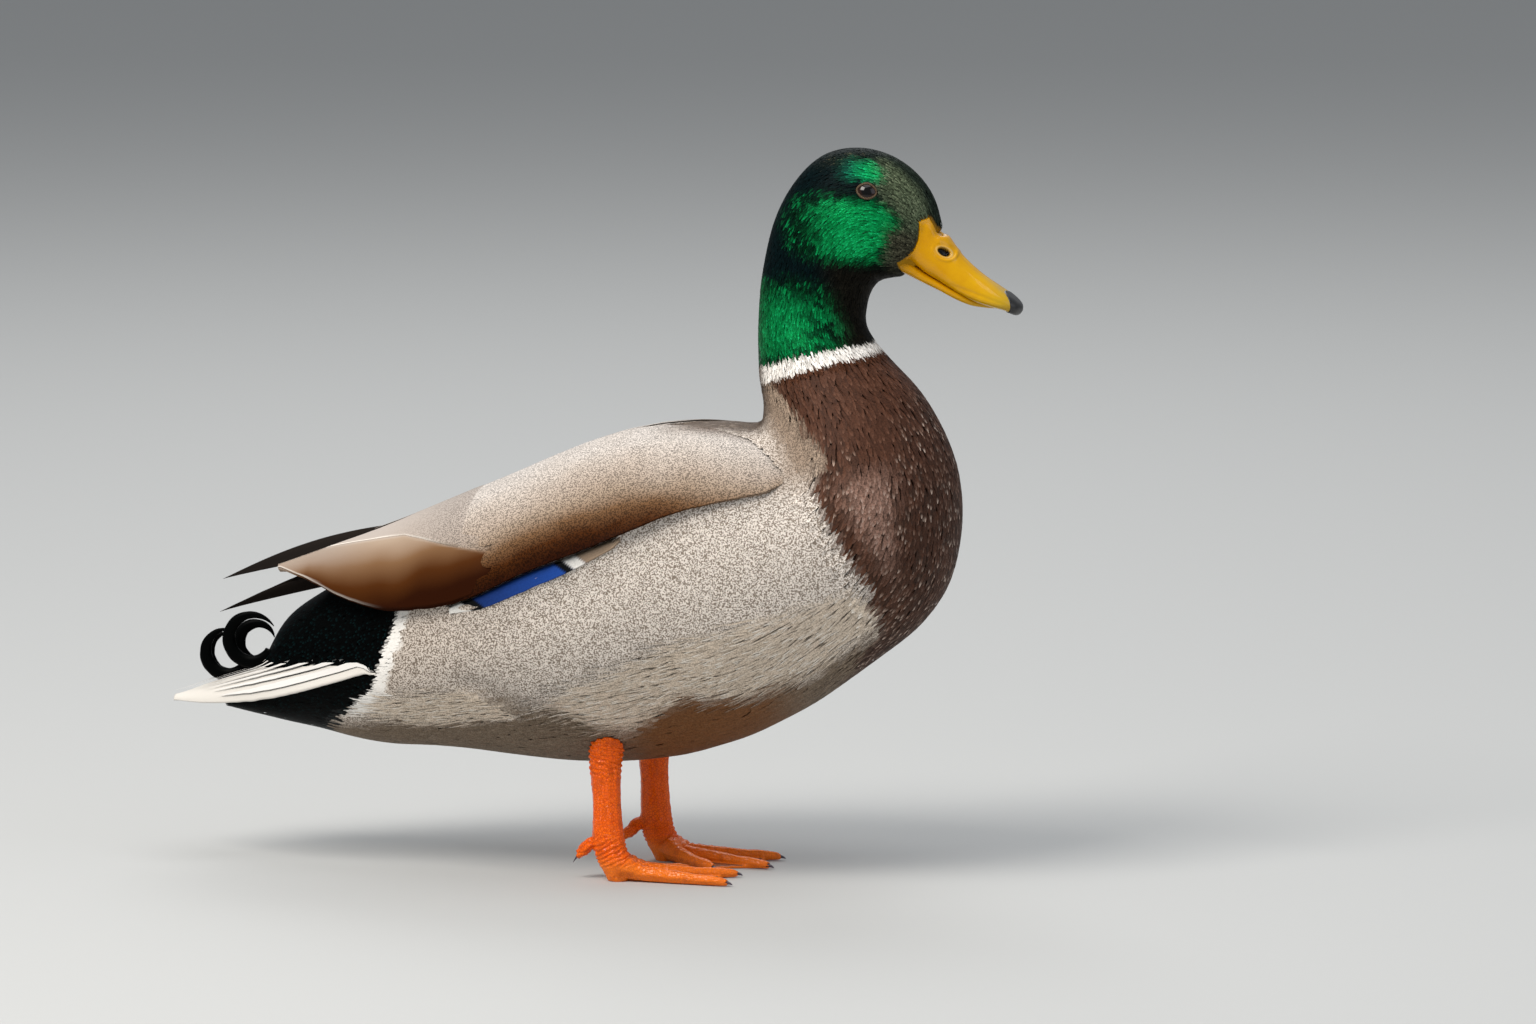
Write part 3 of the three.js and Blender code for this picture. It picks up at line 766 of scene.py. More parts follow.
def mottle(points: Array, size: float, seed: int = SEED) -> Array:
    """Smooth random blotches: a number from 0 to 1 for each place in mm, by their size in mm."""
    side = 24
    lattice = np.random.default_rng(seed).random((side, side, side))
    at = points / size
    base = np.floor(at).astype(int)
    share = at - base
    share = share * share * (3 - 2 * share)
    total = np.zeros(points.shape[:-1])
    for corner in np.ndindex(2, 2, 2):
        i = np.mod(base + corner, side)
        weight = np.prod(np.where(corner, share, 1 - share), axis=-1)
        total += weight * lattice[i[..., 0], i[..., 1], i[..., 2]]
    return total


@dataclass(frozen=True)
class Markings:
    """Where each patch lies on the duck, in mm in side view: x forwards and z up."""

    # Chestnut breast: how far forward its rear border lies at each height.
    breast_z: Row = (
        80, 95, 105, 113, 120, 130, 139, 152, 172, 191, 202, 209, 216, 232, 240)
    breast_x: Row = (
        113, 122, 129, 135, 142, 144, 142, 137, 125, 113, 120, 117, 110, 96, 84)
    # Black rump and vent: the front border, and the front of the white band before it.
    black_z: Row = (62, 70, 77, 83, 89, 99, 109, 118, 127, 140)
    black_x: Row = (-128, -121, -113, -107, -99, -96, -92.5, -88.5, -85.5, -82)
    white_x: Row = (-122, -112, -104, -98, -92, -88.5, -84, -81, -78.5, -75)
    # White collar: its lower and upper edge from the nape forwards.
    collar_x: Row = (80, 103.5, 122, 138)
    collar_low: Row = (234.5, 243.5, 248.4, 251.0)
    collar_high: Row = (243.0, 250.8, 254.8, 256.4)
    # Upper border of the painted shade under the belly, which turns warm brown under its middle.
    belly_x: Row = (
        -117, -100, -76, -58, -34, -16, 0, 11, 24, 34, 46, 55, 76, 98, 116, 128, 143)
    belly_z: Row = (
        70, 74, 75, 88, 89, 84, 80, 76, 73, 77, 86.5, 91.5, 90, 96, 104.5, 116, 123)
    # Two patches of long pale-tipped feathers: along the lower flank, and behind the thigh.
    fringe: Outline = Outline((
        (-15, 82), (-1, 95), (14, 100), (27, 108), (52, 119), (76, 127), (95, 131), (114, 138),
        (133, 143), (144, 135), (142, 122), (128, 115), (116, 103), (98, 94), (76, 88), (55, 90),
        (46, 85), (34, 75), (12, 70)))
    tuft: Outline = Outline((
        (-112, 76), (-99, 87), (-81, 87), (-67, 91), (-51, 93.5), (-42, 88), (-30, 82.5), (-26, 78),
        (-51, 75), (-75, 72)))
    # Greens, which are painted reflection on the glossy head, and the speckled face.
    cheek: Outline = Outline((
        (96.5, 318), (103, 323), (111, 324.6), (128, 323.6), (138, 322.5), (144.5, 320),
        (150.3, 315.5), (149.8, 308.8), (145.6, 304), (141, 300), (139, 296), (132, 294.5),
        (120, 295.5), (112.5, 298), (103, 300), (95, 305.6), (92, 311.3)))
    brow: Outline = Outline((
        (104, 338), (119, 343.5), (129, 342.8), (137.5, 340.3), (143.5, 335.3), (145.3, 331.6),
        (138, 332.6), (132.6, 333.6), (127, 333.8), (119, 333), (108, 333.5)))
    throat_green: Outline = Outline((
        (74, 289), (97, 284.5), (113, 281.5), (122.5, 276), (132, 265), (135, 258), (113, 248),
        (74, 240)))
    face: Outline = Outline((
        (137, 345), (152, 345), (166, 333), (175, 317), (165, 300), (150.5, 294), (143, 297),
        (146.6, 304), (151.5, 312), (146, 321.5), (139.8, 329), (141, 337)))
    # Sizes in mm of the random patterns: uneven borders, breast flecks, painted gleams, painted glinting
    # specks and painted bright streaks.
    blotch: float = 9.0
    fleck: float = 3.1
    gleam: float = 2.2
    speck: float = 1.1
    streak: float = 2.4
    scallop: float = 8.5  # mm from one row of scalloped tips to the next

    def breast(self, points: Array) -> Array:
        """How far in front of the breast's rear border each point lies, in mm."""
        return in_front(points, self.breast_z, self.breast_x)

    def belly(self, points: Array) -> Array:
        """How far under the belly's upper border each point lies, in mm."""
        return np.interp(points[..., 0], self.belly_x, self.belly_z) - points[..., 2]

    def streaked(self, points: Array) -> Array:
        """How far inside either patch of long feathers each point lies, in mm."""
        return np.maximum(self.fringe.depth(points), self.tuft.depth(points))

    def paint(self, points: Array) -> Layers:
        """Works out the plumage at each point.

        Args:
            points: Places in mm.

        Returns:
            The layers ground, bar, tip and marks.
        """
        paint = Paint(points, Patch.FLANK)
        blotch = mottle(points, self.blotch)
        self.paint_trunk(paint, blotch - 0.5)
        self.paint_breast(paint, blotch)
        white = ease(1.5, -1.5, in_front(points, self.black_z, self.white_x))
        paint.over(Patch.WHITE, white * ease(72, 80, paint.z))
        paint.over(Patch.BLACK, ease(0.8, -0.8, in_front(points, self.black_z, self.black_x)))
        above = paint.z - np.interp(paint.x, self.collar_x, self.collar_low)
        paint.over(Patch.RING, ease(-0.8, 0.8, above) * ease(78, 87, paint.x + 4 * (blotch - 0.5)))
        self.paint_head(paint)
        return paint.layers

    def paint_trunk(self, paint: Paint, uneven: Array) -> None:
        """Paints flanks, the painted shade under the belly, shoulder and mantle, with random numbers round 0
        to break the borders.
        """
        points, x, y, z = paint.points, paint.x, paint.y, paint.z
        paint.over(Patch.REAR, ease(20, -70, x + 0.5 * (150 - z)))
        paint.over(Patch.LOWER, ease(-4, 5, self.streaked(points) + 4 * uneven))
        # Painted shade under the belly: darker grey-brown, and warm brown with a painted reflection under
        # its middle.
        under = ease(-5, 6, self.belly(points) + 4 * uneven) * ease(3, -2, self.tuft.depth(points))
        paint.over(Patch.UNDER, under)
        paint.over(Patch.BELLY, under * ease(8, 38, x) * ease(112, 82, x + 0.4 * uneven))
        paint.over(Patch.SHOULDER, ease(-34, -12, self.breast(points)) * ease(182, 204, z))
        paint.over(Patch.MANTLE, ease(24, 10, y) * ease(5, 15, x) * ease(196, 206, z) * ease(100, 86, x))

    def paint_breast(self, paint: Paint, blotch: Array) -> None:
        """Paints the chestnut breast and the nape; the blotches, from 0 to 1, break the borders."""
        points, x, z = paint.points, paint.x, paint.z
        ahead = self.breast(points) + 5 * (blotch - 0.5)
        chest = ease(-2.5, 2.5, ahead)
        paint.over(Patch.CHESTNUT, chest)
        # Painted highlight on the middle of the breast, where it faces the light.
        bloom = chest * ease(6, 20, ahead) * ease(118, 150, z) * ease(208, 190, z) * ease(158, 146, x)
        paint.over(Patch.VIOLET, bloom)
        # Pale scallops follow the border, one row of tips after another; further forward they scatter.
        rows = 0.5 + 0.5 * np.cos(2 * math.pi * (ahead + 4 * blotch) / self.scallop)
        scallop = ease(0.55, 0.95, rows) * ease(24, 8, ahead) * ease(225, 205, z)
        scatter = ease(0.50, 0.66, mottle(points, self.fleck, SEED + 4))
        loose = scatter * np.maximum(ease(142, 160, x), ease(150, 125, z)) * ease(238, 226, z)
        # Along the front edge and under the breast the darker flecked plumage is painted shade, where the
        # breast turns from the light; its pale flecks and scallops are real.
        front = np.maximum(0.35 * ease(146, 160, x), 0.7 * ease(140, 118, z))
        paint.over(Patch.FLECKED, chest * np.maximum(front, np.maximum(0.8 * scallop, loose)))
        paint.over(Patch.NAPE, ease(-3, 1, ahead) * ease(98, 88, x) * ease(222, 228, z))

    def paint_head(self, paint: Paint) -> None:
        """Paints all above the collar: the near-black crown, the greens, which are painted reflection of the
        glossy head, and the speckled face.
        """
        points, x, y, z = paint.points, paint.x, paint.y, paint.z
        head = ease(-0.5, 0.5, z - np.interp(x, self.collar_x, self.collar_high))
        paint.over(Patch.CROWN, head)
        spark = mottle(points, self.gleam, SEED + 1)
        uneven = spark - 0.5
        cheek, neck = self.cheek.depth(points), self.throat_green.depth(points)
        # Painted reflection: dim green mottling round the cheek and neck, with glinting emerald specks.
        shade = ease(-7, 2, np.maximum(cheek, neck)) * np.maximum(ease(86, 100, x), ease(290, 280, z))
        paint.over(Patch.DEEP, head * shade * (0.3 + 0.6 * spark))
        speck = ease(0.66, 0.76, mottle(points, self.speck, SEED + 2))
        paint.over(Patch.EMERALD, head * speck * shade * ease(128, 108, x) * 0.6)
        paint.over(Patch.SPECKLED, head * ease(336, 345, z) * ease(98, 108, x) * (0.2 + 0.6 * spark))
        # The neck's painted bright streaks of reflected light run forwards and slightly down.
        slanted = points @ np.array([[0.5, 0, 0.3], [0, 1, 0], [0.9, 0, -0.5]])
        streak = ease(0.42, 0.60, mottle(slanted, self.streak, SEED + 6))
        lit = np.maximum(ease(116, 98, x), ease(262, 252, z) * 0.8)
        gleam = np.maximum(lit * (0.35 + 0.5 * spark), 0.8 * streak)
        paint.over(Patch.EMERALD, head * ease(-1, 17, neck + 5 * uneven) * gleam)
        # Painted reflection: the bright emerald cheek, and teal and emerald over the eye.
        paint.over(Patch.EMERALD, ease(-3.5, 6.0, cheek + 6 * uneven) * ease(101, 126, x + 9 * uneven))
        brow = ease(-2.0, 2.6, self.brow.depth(points) + 3 * uneven)
        paint.over(Patch.TEAL, brow * ease(116, 134, x))
        paint.over(Patch.EMERALD, brow * ease(123, 136, x) * 0.85)
        paint.over(Patch.OLIVE, head * ease(-5, 4, self.face.depth(points) + 4 * uneven))
        paint.over(Patch.LORE, head * ease(314, 306, z + 0.2 * (x - 150)) * ease(140, 147, x))
        top = head * ease(9.5, 4.5, y + 2 * uneven) * ease(304, 312, z) * ease(98, 112, x)
        paint.over(Patch.CROWN, top * 0.85)
        chin = ease(297, 288, z + 0.12 * (x - 130)) * ease(110, 124, x - 0.25 * (280 - z))
        paint.over(Patch.THROAT, chin * head)


# ---------- finishes ----------
@dataclass(frozen=True)
class Plumage:
    """Keratin vanes, matt where they are loose and barred, glossy where they are close and dark.

    The bars are a fine maze of short wavy lines, like worm tracks; a slight bump follows them, so that
    the surface breaks the light as barbs do.
    """

    name: str
    bar_period: float = 1.05  # mm from one wavy bar to the next
    roughness: float = 0.62
    metallic: float = 0.0
    specular: float = 0.15
    relief: float = 0.03  # mm of bump
    variation: float = 0.03  # how much lighter or darker one vane is than the next
    maze_cell: float = 0.62  # the maze's cells, as a share of the bar period
    glossy: float = 0.36  # roughness where the gloss is full
    barb: float = 0.5  # mm; real barbs are a tenth of a millimetre apart, and wouldn't show

    def make(self) -> Material:
        """Builds the material, which reads the layers that the markings painted."""
        made = Recipe(self.name)
        ground, bar, tip = (made.colour(layer) for layer in ("ground", "bar", "tip"))
        barring, tipping, gloss = made.channels("marks")
        reach, _, chance = made.channels("vane")
        where = made.where()
        maze = made.noise(1 / (self.maze_cell * self.bar_period * MM), 0.0, Vector=where, Distortion=0.6)
        amount = made.math("MULTIPLY", made.span(maze, 0.46, 0.57, soft=True), barring)
        barred = made.blend(amount, ground, bar)
        # Only the last third of a vane shows its tip colour, and some vanes show it more than others.
        edge = made.span(reach, 0.62, 0.95, soft=True)
        luck = made.span(chance, 0.35, 0.95, soft=True)
        tipped = made.math("MULTIPLY", made.math("MULTIPLY", edge, luck), tipping)
        shade = made.span(chance, low=1 - self.variation, high=1 + self.variation)
        barbs = made.noise(1 / (self.barb * MM), 1.0, Vector=where)
        inputs = {
            "Base Color": made.blend(1.0, made.blend(tipped, barred, tip), shade, "MULTIPLY"),
            "Roughness": made.span(gloss, low=self.roughness, high=self.glossy),
            "Normal": made.bump(made.math("SUBTRACT", barbs, amount), 0.5, self.relief),
            "Specular IOR Level": self.specular}
        if self.metallic:
            inputs["Metallic"] = made.math("MULTIPLY", gloss, self.metallic)
        return made.finish(inputs)


# ---------- trunk, neck and head ----------
@dataclass
class Body:
    """Trunk, neck and head: one skin from tail to bill, and the coat of feathers over it."""

    markings: Markings
    spine: Spine = Spine((
        (-184, 77, 0), (-137, 94, 8), (-67, 111, -2), (3, 124, 0), (40, 133, 5), (76, 144, 13),
        (104, 159, 28), (122, 174, 44), (128, 192, 58), (127, 209, 69), (122, 224, 79),
        (112, 243, 91), (105, 260, 92), (105, 275, 84), (109, 292, 69), (117, 307, 46),
        (128, 315.5, 27), (141, 316, 8), (150, 312, -8), (157, 305, -23), (159, 298, -34)),
        rows=330, sides=160)
    blur: Pair = (3.0, 2.6)
    # The fold where the flank's feathers meet the thigh, as heights at each x.
    fold_x: Row = (-62, -48, -34, -18, -5, 7)
    fold_z: Row = (98, 94, 90, 84, 80, 75)
    fold_deep: float = 2.6
    fold_wide: float = 4.5
    # Where the bare bill begins, as x at each height, and the forehead's wedge, as half width at each x.
    bill_z: Row = (
        276, 284, 287, 291, 294.6, 295.4, 298, 300.5, 304.7, 309.8, 314.0, 316.5)
    bill_x: Row = (
        153, 152.5, 150.8, 148.2, 147.6, 150.2, 152.9, 155.1, 157.0, 157.6, 157.5, 163)
    bill_low: float = 262.0
    wedge_x: Row = (156, 157.6, 159.1, 162.9, 165.5, 166.7, 167.3, 168)
    wedge_y: Row = (9.8, 8.6, 7.4, 5.8, 4.2, 1.8, -1, -4)
    # How far in mm the skin lies under the coat: on the trunk, the head, under a wing, the bill and an eye.
    under_coat: float = 1.2
    under_head: float = 0.6
    under_wing: float = 6.5
    under_bill: Pair = (1.3, 2.6)  # at its base and further forward
    under_eye: float = 3.6
    gape: str = "#a87a06"  # the bare skin under the bill's edge
    # How far a feather's tip may reach into the zones of wing and bill, and towards an eye.
    tip_wing: float = 0.7
    tip_bill: float = 0.2
    tip_eye: float = 1.08

    def __post_init__(self) -> None:
        """Measures the outside of the flesh and the folded wings."""
        nodes = ["trunk", "neck", "head", "bill_upper", "bill_lower"]
        nodes += [f"{part}_{side.word}" for part in ("eye", "wing", "secondaries") for side in Side]
        measured, owner = self.spine.measure(Probe(nodes), self.blur)
        points = measured.points - measured.normals * self.thigh_fold(measured.points)[..., None]
        self.hull = Surface(points, True)
        winged = np.isin(owner, [name for name in nodes if name.startswith(("wing", "secondaries"))])
        both = winged | np.roll(winged[:, ::-1], 1, 1)
        self.winged = smoothed(both.astype(float), (1.5, 1.5), True)
        self.beaked = self.bill_zone(points)
        self.eyes = [Eye(side) for side in Side]
        self.socket = np.minimum(*(eye.opening(points) for eye in self.eyes))

    def thigh_fold(self, points: Array) -> Array:
        """How deep the fold behind the thigh is at each point, in mm."""
        x = points[..., 0]
        across = points[..., 2] - np.interp(x, self.fold_x, self.fold_z)
        first, last = self.fold_x[0], self.fold_x[-1]
        ends = ease(first, first + 25, x) * ease(last, last - 8, x)
        return self.fold_deep * ends * bell(across, self.fold_wide)

    def bill_zone(self, points: Array) -> Array:
        """How far inside the bare bill's zone each point lies, in mm, and less than 0 outside."""
        forward = in_front(points, self.bill_z, self.bill_x)
        beside = np.abs(points[..., 1]) - np.interp(points[..., 0], self.wedge_x, self.wedge_y)
        beside = beside + 20 * ease(308.5, 304.5, points[..., 2])
        return np.where(points[..., 2] > self.bill_low, np.minimum(forward, beside), -9.0)

    def coat_depth(self) -> Array:
        """How far the skin lies under the outside of the coat at each point of the hull, in mm."""
        x, z = self.hull.points[..., 0], self.hull.points[..., 2]
        base, ahead = self.under_bill
        depth = self.under_coat + (self.under_head - self.under_coat) * ease(236, 262, z)
        for deep, share in ((self.under_wing, ease(0.35, 0.85, self.winged)),
                            (base + (ahead - base) * ease(152, 160, x), ease(-0.3, 0.9, self.beaked)),
                            (self.under_eye, ease(1.12, 0.9, self.socket))):
            depth = depth + (deep - depth) * share
        return depth

    def skin(self, finish: Material) -> Piece:
        """Makes the one skin, which stands for the nodes of flesh."""
        points = self.hull.points - self.hull.normals * self.coat_depth()[..., None]
        layers = self.markings.paint(points)
        # Under the bill's edge the skin is bare and yellow, so that the mouth's corner has no dark gap.
        bare = ease(-0.5, 0.5, self.beaked)
        layers["ground"] = tinted(layers["ground"], self.gape, bare)
        layers["marks"] *= 1 - bare[..., None]
        piece = tube(points, layers).piece("skin", finish, "body_feathers")
        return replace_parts(piece, "trunk", "neck", "head")

    def roots(self, tract: "Tract", wanted: Array, rng: Random) -> Roots:
        """Spreads one tract's feathers where they are wanted.

        Args:
            tract: The kind of feather.
            wanted: For each point of the hull, whether they may stand there.
            rng: The source of random numbers.

        Returns:
            The roots, each cut short where its tip would cover an eye, the bill or the wing.
        """
        row, column = self.hull.scatter(tract.spacing, wanted, rng)
        count = len(row)
        spread = rng.normal(0, 1, (3, count))
        full = tract.length * (1 + 0.12 * spread[0])
        width = tract.width * (1 + 0.08 * spread[1])
        lift = np.maximum(0, tract.ruffle * rng.normal(0.4, 0.6, count))
        zones = np.stack([self.winged, self.beaked, self.socket], -1)
        pitch = self.hull.cell(row, column)[:, 0]
        length = np.zeros(count)
        for share in (1.0, 0.75, 0.5, 0.3):
            wing, bill, eye = self.hull.read(zones, row - share * full / pitch, column).T
            clear = (wing < self.tip_wing) & (bill < self.tip_bill) & (eye > self.tip_eye)
            length = np.where((length == 0) & clear, share * full, length)
        heading = np.radians(tract.stray) * spread[2]
        return Roots(row, column, length, width, heading, lift, rng.random(count)).keep(length > 0)

    def dress(self, tract: "Tract", roots: Roots, rng: Random) -> Cloth:
        """Lays a tract's feathers and paints each from the markings near its tip.

        Args:
            tract: The kind of feather.
            roots: Where they stand.
            rng: The source of random numbers.

        Returns:
            The cloth, with all its layers.
        """
        cloth = lay(self.hull, tract.vane, roots)
        pitch = self.hull.cell(roots.row, roots.column)[:, 0]
        seen = self.hull.at(roots.row - 0.6 * roots.length / pitch, roots.column)
        seen = seen + rng.normal(0, tract.ragged, seen.shape)
        each = len(cloth.points) // len(roots.row)
        for layer, values in self.markings.paint(seen).items():
            cloth.layers[layer] = np.repeat(values, each, axis=0)
        return cloth


@dataclass(frozen=True)
class Tract:
    """One kind of body feather: how closely it stands, its size in mm and how loosely it lies."""

    name: str
    slot: str
    finish: str
    vane: Vane
    spacing: float
    length: float
    width: float
    stray: float = 6.0  # degrees that a feather may turn off its line
    ruffle: float = 0.1  # mm that tips may stand up by
    ragged: float = 0.6  # mm by which a marking's edge is broken up


# ---------- eyes ----------
@dataclass
class Eye:
    """An eyeball behind an almond opening with a thin bare rim."""

    side: Side
    half_long: float = 4.35  # mm, half the opening's length
    half_high: float = 3.35
    rim: float = 0.45  # mm, half the lid's thickness
    cornea: float = 0.25  # mm that it bulges
    inset: float = 0.15  # mm that the ball lies inside the frame's
    power: float = 1.7  # the opening's shape: 2 is an oval, less is more of an almond
    look: Pair = (0.19, 0.30)  # how far the eye faces forwards and up

    def __post_init__(self) -> None:
        """Reads the eyeball's place from the frame and sets the way it looks."""
        low, high = in_mm(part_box(f"eye_{self.side.word}"))
        self.middle = (low + high) / 2
        self.radius = float((high - low).max() / 2)
        self.out = unit(np.array([self.look[0], 0.93 * self.side.value, self.look[1]]))
        ahead = np.array([1, 0, -0.16])
        self.ahead = unit(ahead - self.out * (ahead @ self.out))
        self.up = np.cross(self.ahead, self.out) * -self.side.value
        self.up *= np.sign(self.up[2])

    def opening(self, points: Array) -> Array:
        """How far out from the opening's middle each point is, 1 at its edge."""
        way = unit(points - self.middle)
        along, high = way @ self.ahead * self.radius, way @ self.up * self.radius
        out = (np.abs(along) / self.half_long) ** self.power + (np.abs(high) / self.half_high) ** self.power
        return np.where(way @ self.out > 0, out ** (1 / self.power), 9.0)

    def ball(self, finish: Material) -> Piece:
        """Makes the eyeball with its slightly bulging cornea."""
        rings, sides = 40, 48
        polar = np.linspace(0.03, math.pi - 0.03, rings)[:, None]
        turn = circle(sides)[None, :, None]
        size = self.radius - self.inset + self.cornea * bell(polar, 0.5)
        side = np.cos(turn) * self.ahead + np.sin(turn) * self.up
        along, beside = (size * np.cos(polar))[..., None], (size * np.sin(polar))[..., None]
        points = self.middle + along * self.out + beside * side
        # The finish reads the distance from the eye's axis, as a share of 10 mm, and 1 at the back.
        from_axis = np.where(np.cos(polar) > 0, self.radius * np.sin(polar) / 10, 1) + np.zeros(sides)
        layer = np.stack([from_axis, from_axis * 0, from_axis * 0], -1)
        piece = tube(points, {"gaze": layer}).piece(f"eyeball_{self.side.word}", finish, "eye")
        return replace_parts(piece, f"eye_{self.side.word}")

    def lids(self, finish: Material) -> Piece:
        """Makes the bare beaded rim round the opening."""
        steps, sides = 96, 14
        turn = circle(steps)
        reach = [np.sign(way) * np.abs(way) ** (2 / 1.75) for way in (np.cos(turn), np.sin(turn))]
        along, high = reach[0] * (self.half_long + 0.3), reach[1] * (self.half_high + 0.3)
        deep = np.sqrt(self.radius**2 - along**2 - high**2) + 0.1
        loop = self.middle + along[:, None] * self.ahead + high[:, None] * self.up + deep[:, None] * self.out
        away = unit(loop - self.middle)
        beside = np.cross(unit(np.roll(loop, -1, 0) - np.roll(loop, 1, 0)), away)
        around = circle(sides)[None, :, None]
        thick = self.rim * (1 + 0.12 * np.sin(turn * 23) * np.sin(turn * 7))
        ring = (np.cos(around) * away[:, None] * 0.8
                + np.sin(around) * beside[:, None] * 1.15) * thick[:, None, None]
        points = (loop[:, None] + ring).reshape(-1, 3)
        i = np.arange(sides)
        k = (i + 1) % sides
        last = (steps - 1) * sides
        faces = [sheet_faces(steps, sides), stacked(i + last, k + last, i), stacked(k + last, k, i)]
        cloth = Cloth(points, np.concatenate(faces)).outward()
        return cloth.piece(f"eyelids_{self.side.word}", finish, "eye")


def eye_finish() -> Material:
    """A wet cornea over a dark brown iris and a black pupil: a deep, sharply shining surface."""
    made = Recipe("wet_cornea_over_brown_iris")
    rays = made.noise(900.0, 2.0)
    from_axis = made.math("MULTIPLY_ADD", rays, 0.02, made.channels("gaze")[0])
    pupil = (0.0, "#020202"), (0.245, "#030202")
    iris = (0.27, "#180b06"), (0.40, "#29150c"), (0.455, "#080403")
    return made.finish({
        "Base Color": made.ramp(from_axis, *pupil, *iris), "Roughness": 0.12, "Specular IOR Level": 0.2,
        "Coat Weight": 0.5, "Coat Roughness": 0.03, "Coat IOR": 1.376})


def lid_finish() -> Material:
    """Thin bare skin, pale grey-brown and slightly moist, with fine beading."""
    made = Recipe("bare_lid_skin")
    beads = made.add("TexVoronoi", {"Scale": 1 / (0.5 * MM)}).outputs["Distance"]
    return made.finish({
        "Base Color": made.ramp(beads, (0.0, "#8a7156"), (0.6, "#3d3125")),
        "Normal": made.bump(beads, 0.4, 0.1), "Roughness": 0.5, "Specular IOR Level": 0.15})


# ---------- bill ----------
@dataclass
class Bill:
    """The horny bill: upper and lower halves, nostrils, flared rims and the dark nail at the tip."""

    body: Body
    upper: Spine = Spine((
        (153, 309.5, -14), (161.6, 301.4, -17), (167.4, 296.2, -15), (172.1, 291.3, -18),
        (177.9, 286.7, -20), (184.8, 282, -19), (192, 278.6, -19), (197.8, 275.8, -21),
        (202.2, 273, -26), (204.4, 271.5, -31)), rows=170, sides=128)
    lower: Spine = Spine((
        (147.2, 293, 15), (152.9, 290, 12), (159, 286.3, 18), (165.9, 282.7, 20), (173.2, 278.9, 20),
        (180, 276, 18), (187, 274.4, 12), (191.5, 273.7, 4)), rows=70, sides=64)
    nostril: Pair = (169.0, 299.6)
    nostril_half: Pair = (3.1, 1.7)
    nostril_deep: float = 2.6
    lip_half: Pair = (5.4, 3.6)  # of the soft lip round the nostril
    tilt: float = -27.0  # degrees, of nostril and lip
    crease: Pair = (159.3, 311.5)  # where the crease starts
    crease_way: Pair = (0.64, 0.77)  # how far it goes forwards and down
    nail_from: float = 196.4
    under_feathers: float = 2.4  # mm that the horn goes down under the face

    def __post_init__(self) -> None:
        """Measures the upper half together with the face round it."""
        measured, _ = self.upper.measure(Probe(["bill_upper", "bill_nail", "head"]), (4.0, 3.0))
        # The last ten sections shrink to a rounded tip.
        share = np.clip((np.arange(measured.rows) - measured.rows + 10) / 9.6, 0, 1)[:, None, None]
        middle = measured.points.mean(1, keepdims=True)
        self.shell = Surface(middle + (measured.points - middle) * np.sqrt(1 - share**2), True)
        self.jaw, _ = self.lower.measure(Probe(["bill_lower"]), (3.0, 2.5))

    def oval(self, points: Array, middle: Pair, half: Pair) -> Array:
        """How far out each point is in a tilted oval seen from the side, 1 at its edge."""
        turn = math.radians(self.tilt)
        dx, dz = points[..., 0] - middle[0], points[..., 2] - middle[1]
        along = dx * math.cos(turn) + dz * math.sin(turn)
        up = dz * math.cos(turn) - dx * math.sin(turn)
        return np.hypot(along / half[0], up / half[1])

    def relief(self, points: Array) -> tuple[Array, Array, Array]:
        """Works out the bill's fine shape.

        Args:
            points: The measured surface.

        Returns:
            How far each point is raised in mm, how dark the nostril's painted shade makes it, and how pale
            the painted highlight on its rim makes it.
        """
        x, z = points[..., 0], points[..., 2]
        hole = self.oval(points, self.nostril, self.nostril_half)
        lip = self.oval(points, (self.nostril[0], self.nostril[1] + 0.2), self.lip_half)
        rim = bell(hole - 1.25, 0.14)
        raised = -self.nostril_deep * ease(1.08, 0.7, hole) + 0.20 * rim
        raised += 0.42 * bell(lip - 1.05, 0.12) * ease(5, -2.5, z - self.nostril[1])
        raised -= 0.20 * ease(1.0, 0.7, lip)
        # A soft crease runs from the upper corner of the base down to the nostril.
        dx, dz = x - self.crease[0], z - self.crease[1]
        along = dx * self.crease_way[0] - dz * self.crease_way[1]
        beside = dx * self.crease_way[1] + dz * self.crease_way[0]
        crease = ease(-1, 2, along) * ease(13, 9, along)
        raised += 0.45 * crease * bell(beside - 1.2, 1.1)
        raised -= 0.30 * crease * bell(beside + 1.6, 1.4)
        # The rim flares out under a shallow groove towards the tip.
        groove = z - (282.6 - 0.34 * (x - 177.4))
        toward_tip = ease(168, 180, x) * ease(200, 193, x)
        raised -= 0.38 * toward_tip * bell(groove, 0.8)
        raised += 0.30 * toward_tip * bell(groove + 2.2, 1.4)
        ripple = 0.05 * (mottle(points, 2.2, SEED + 3) - 0.5)
        return raised + ripple, ease(1.08, 0.92, hole), rim

    def nail_zone(self, points: Array) -> Array:
        """How far inside the nail's outline each point lies, in mm, and less than 0 outside."""
        return points[..., 0] - self.nail_from - 0.05 * points[..., 1] ** 2 + 0.03 * (points[..., 2] - 275)

    def halves(self, horn: Material) -> None:
        """Makes the upper and lower halves."""
        points, normals = self.shell.points, self.shell.normals
        raised, dark, pale = self.relief(points)
        outside = ease(0.35, -0.45, self.body.bill_zone(points))
        height = raised * (1 - outside) - self.under_feathers * outside
        # The horn layer carries the nostril's painted shade, the feathered edge, and the painted highlight
        # on the nostril's rim.
        colour = {"horn": np.stack([dark, outside, pale], -1)}
        upper = tube(points + normals * height[..., None], colour)
        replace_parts(upper.piece("bill_upper_horn", horn, "bill_horn"), "bill_upper")
        jaw = {"horn": np.zeros((*self.jaw.points.shape[:2], 3))}
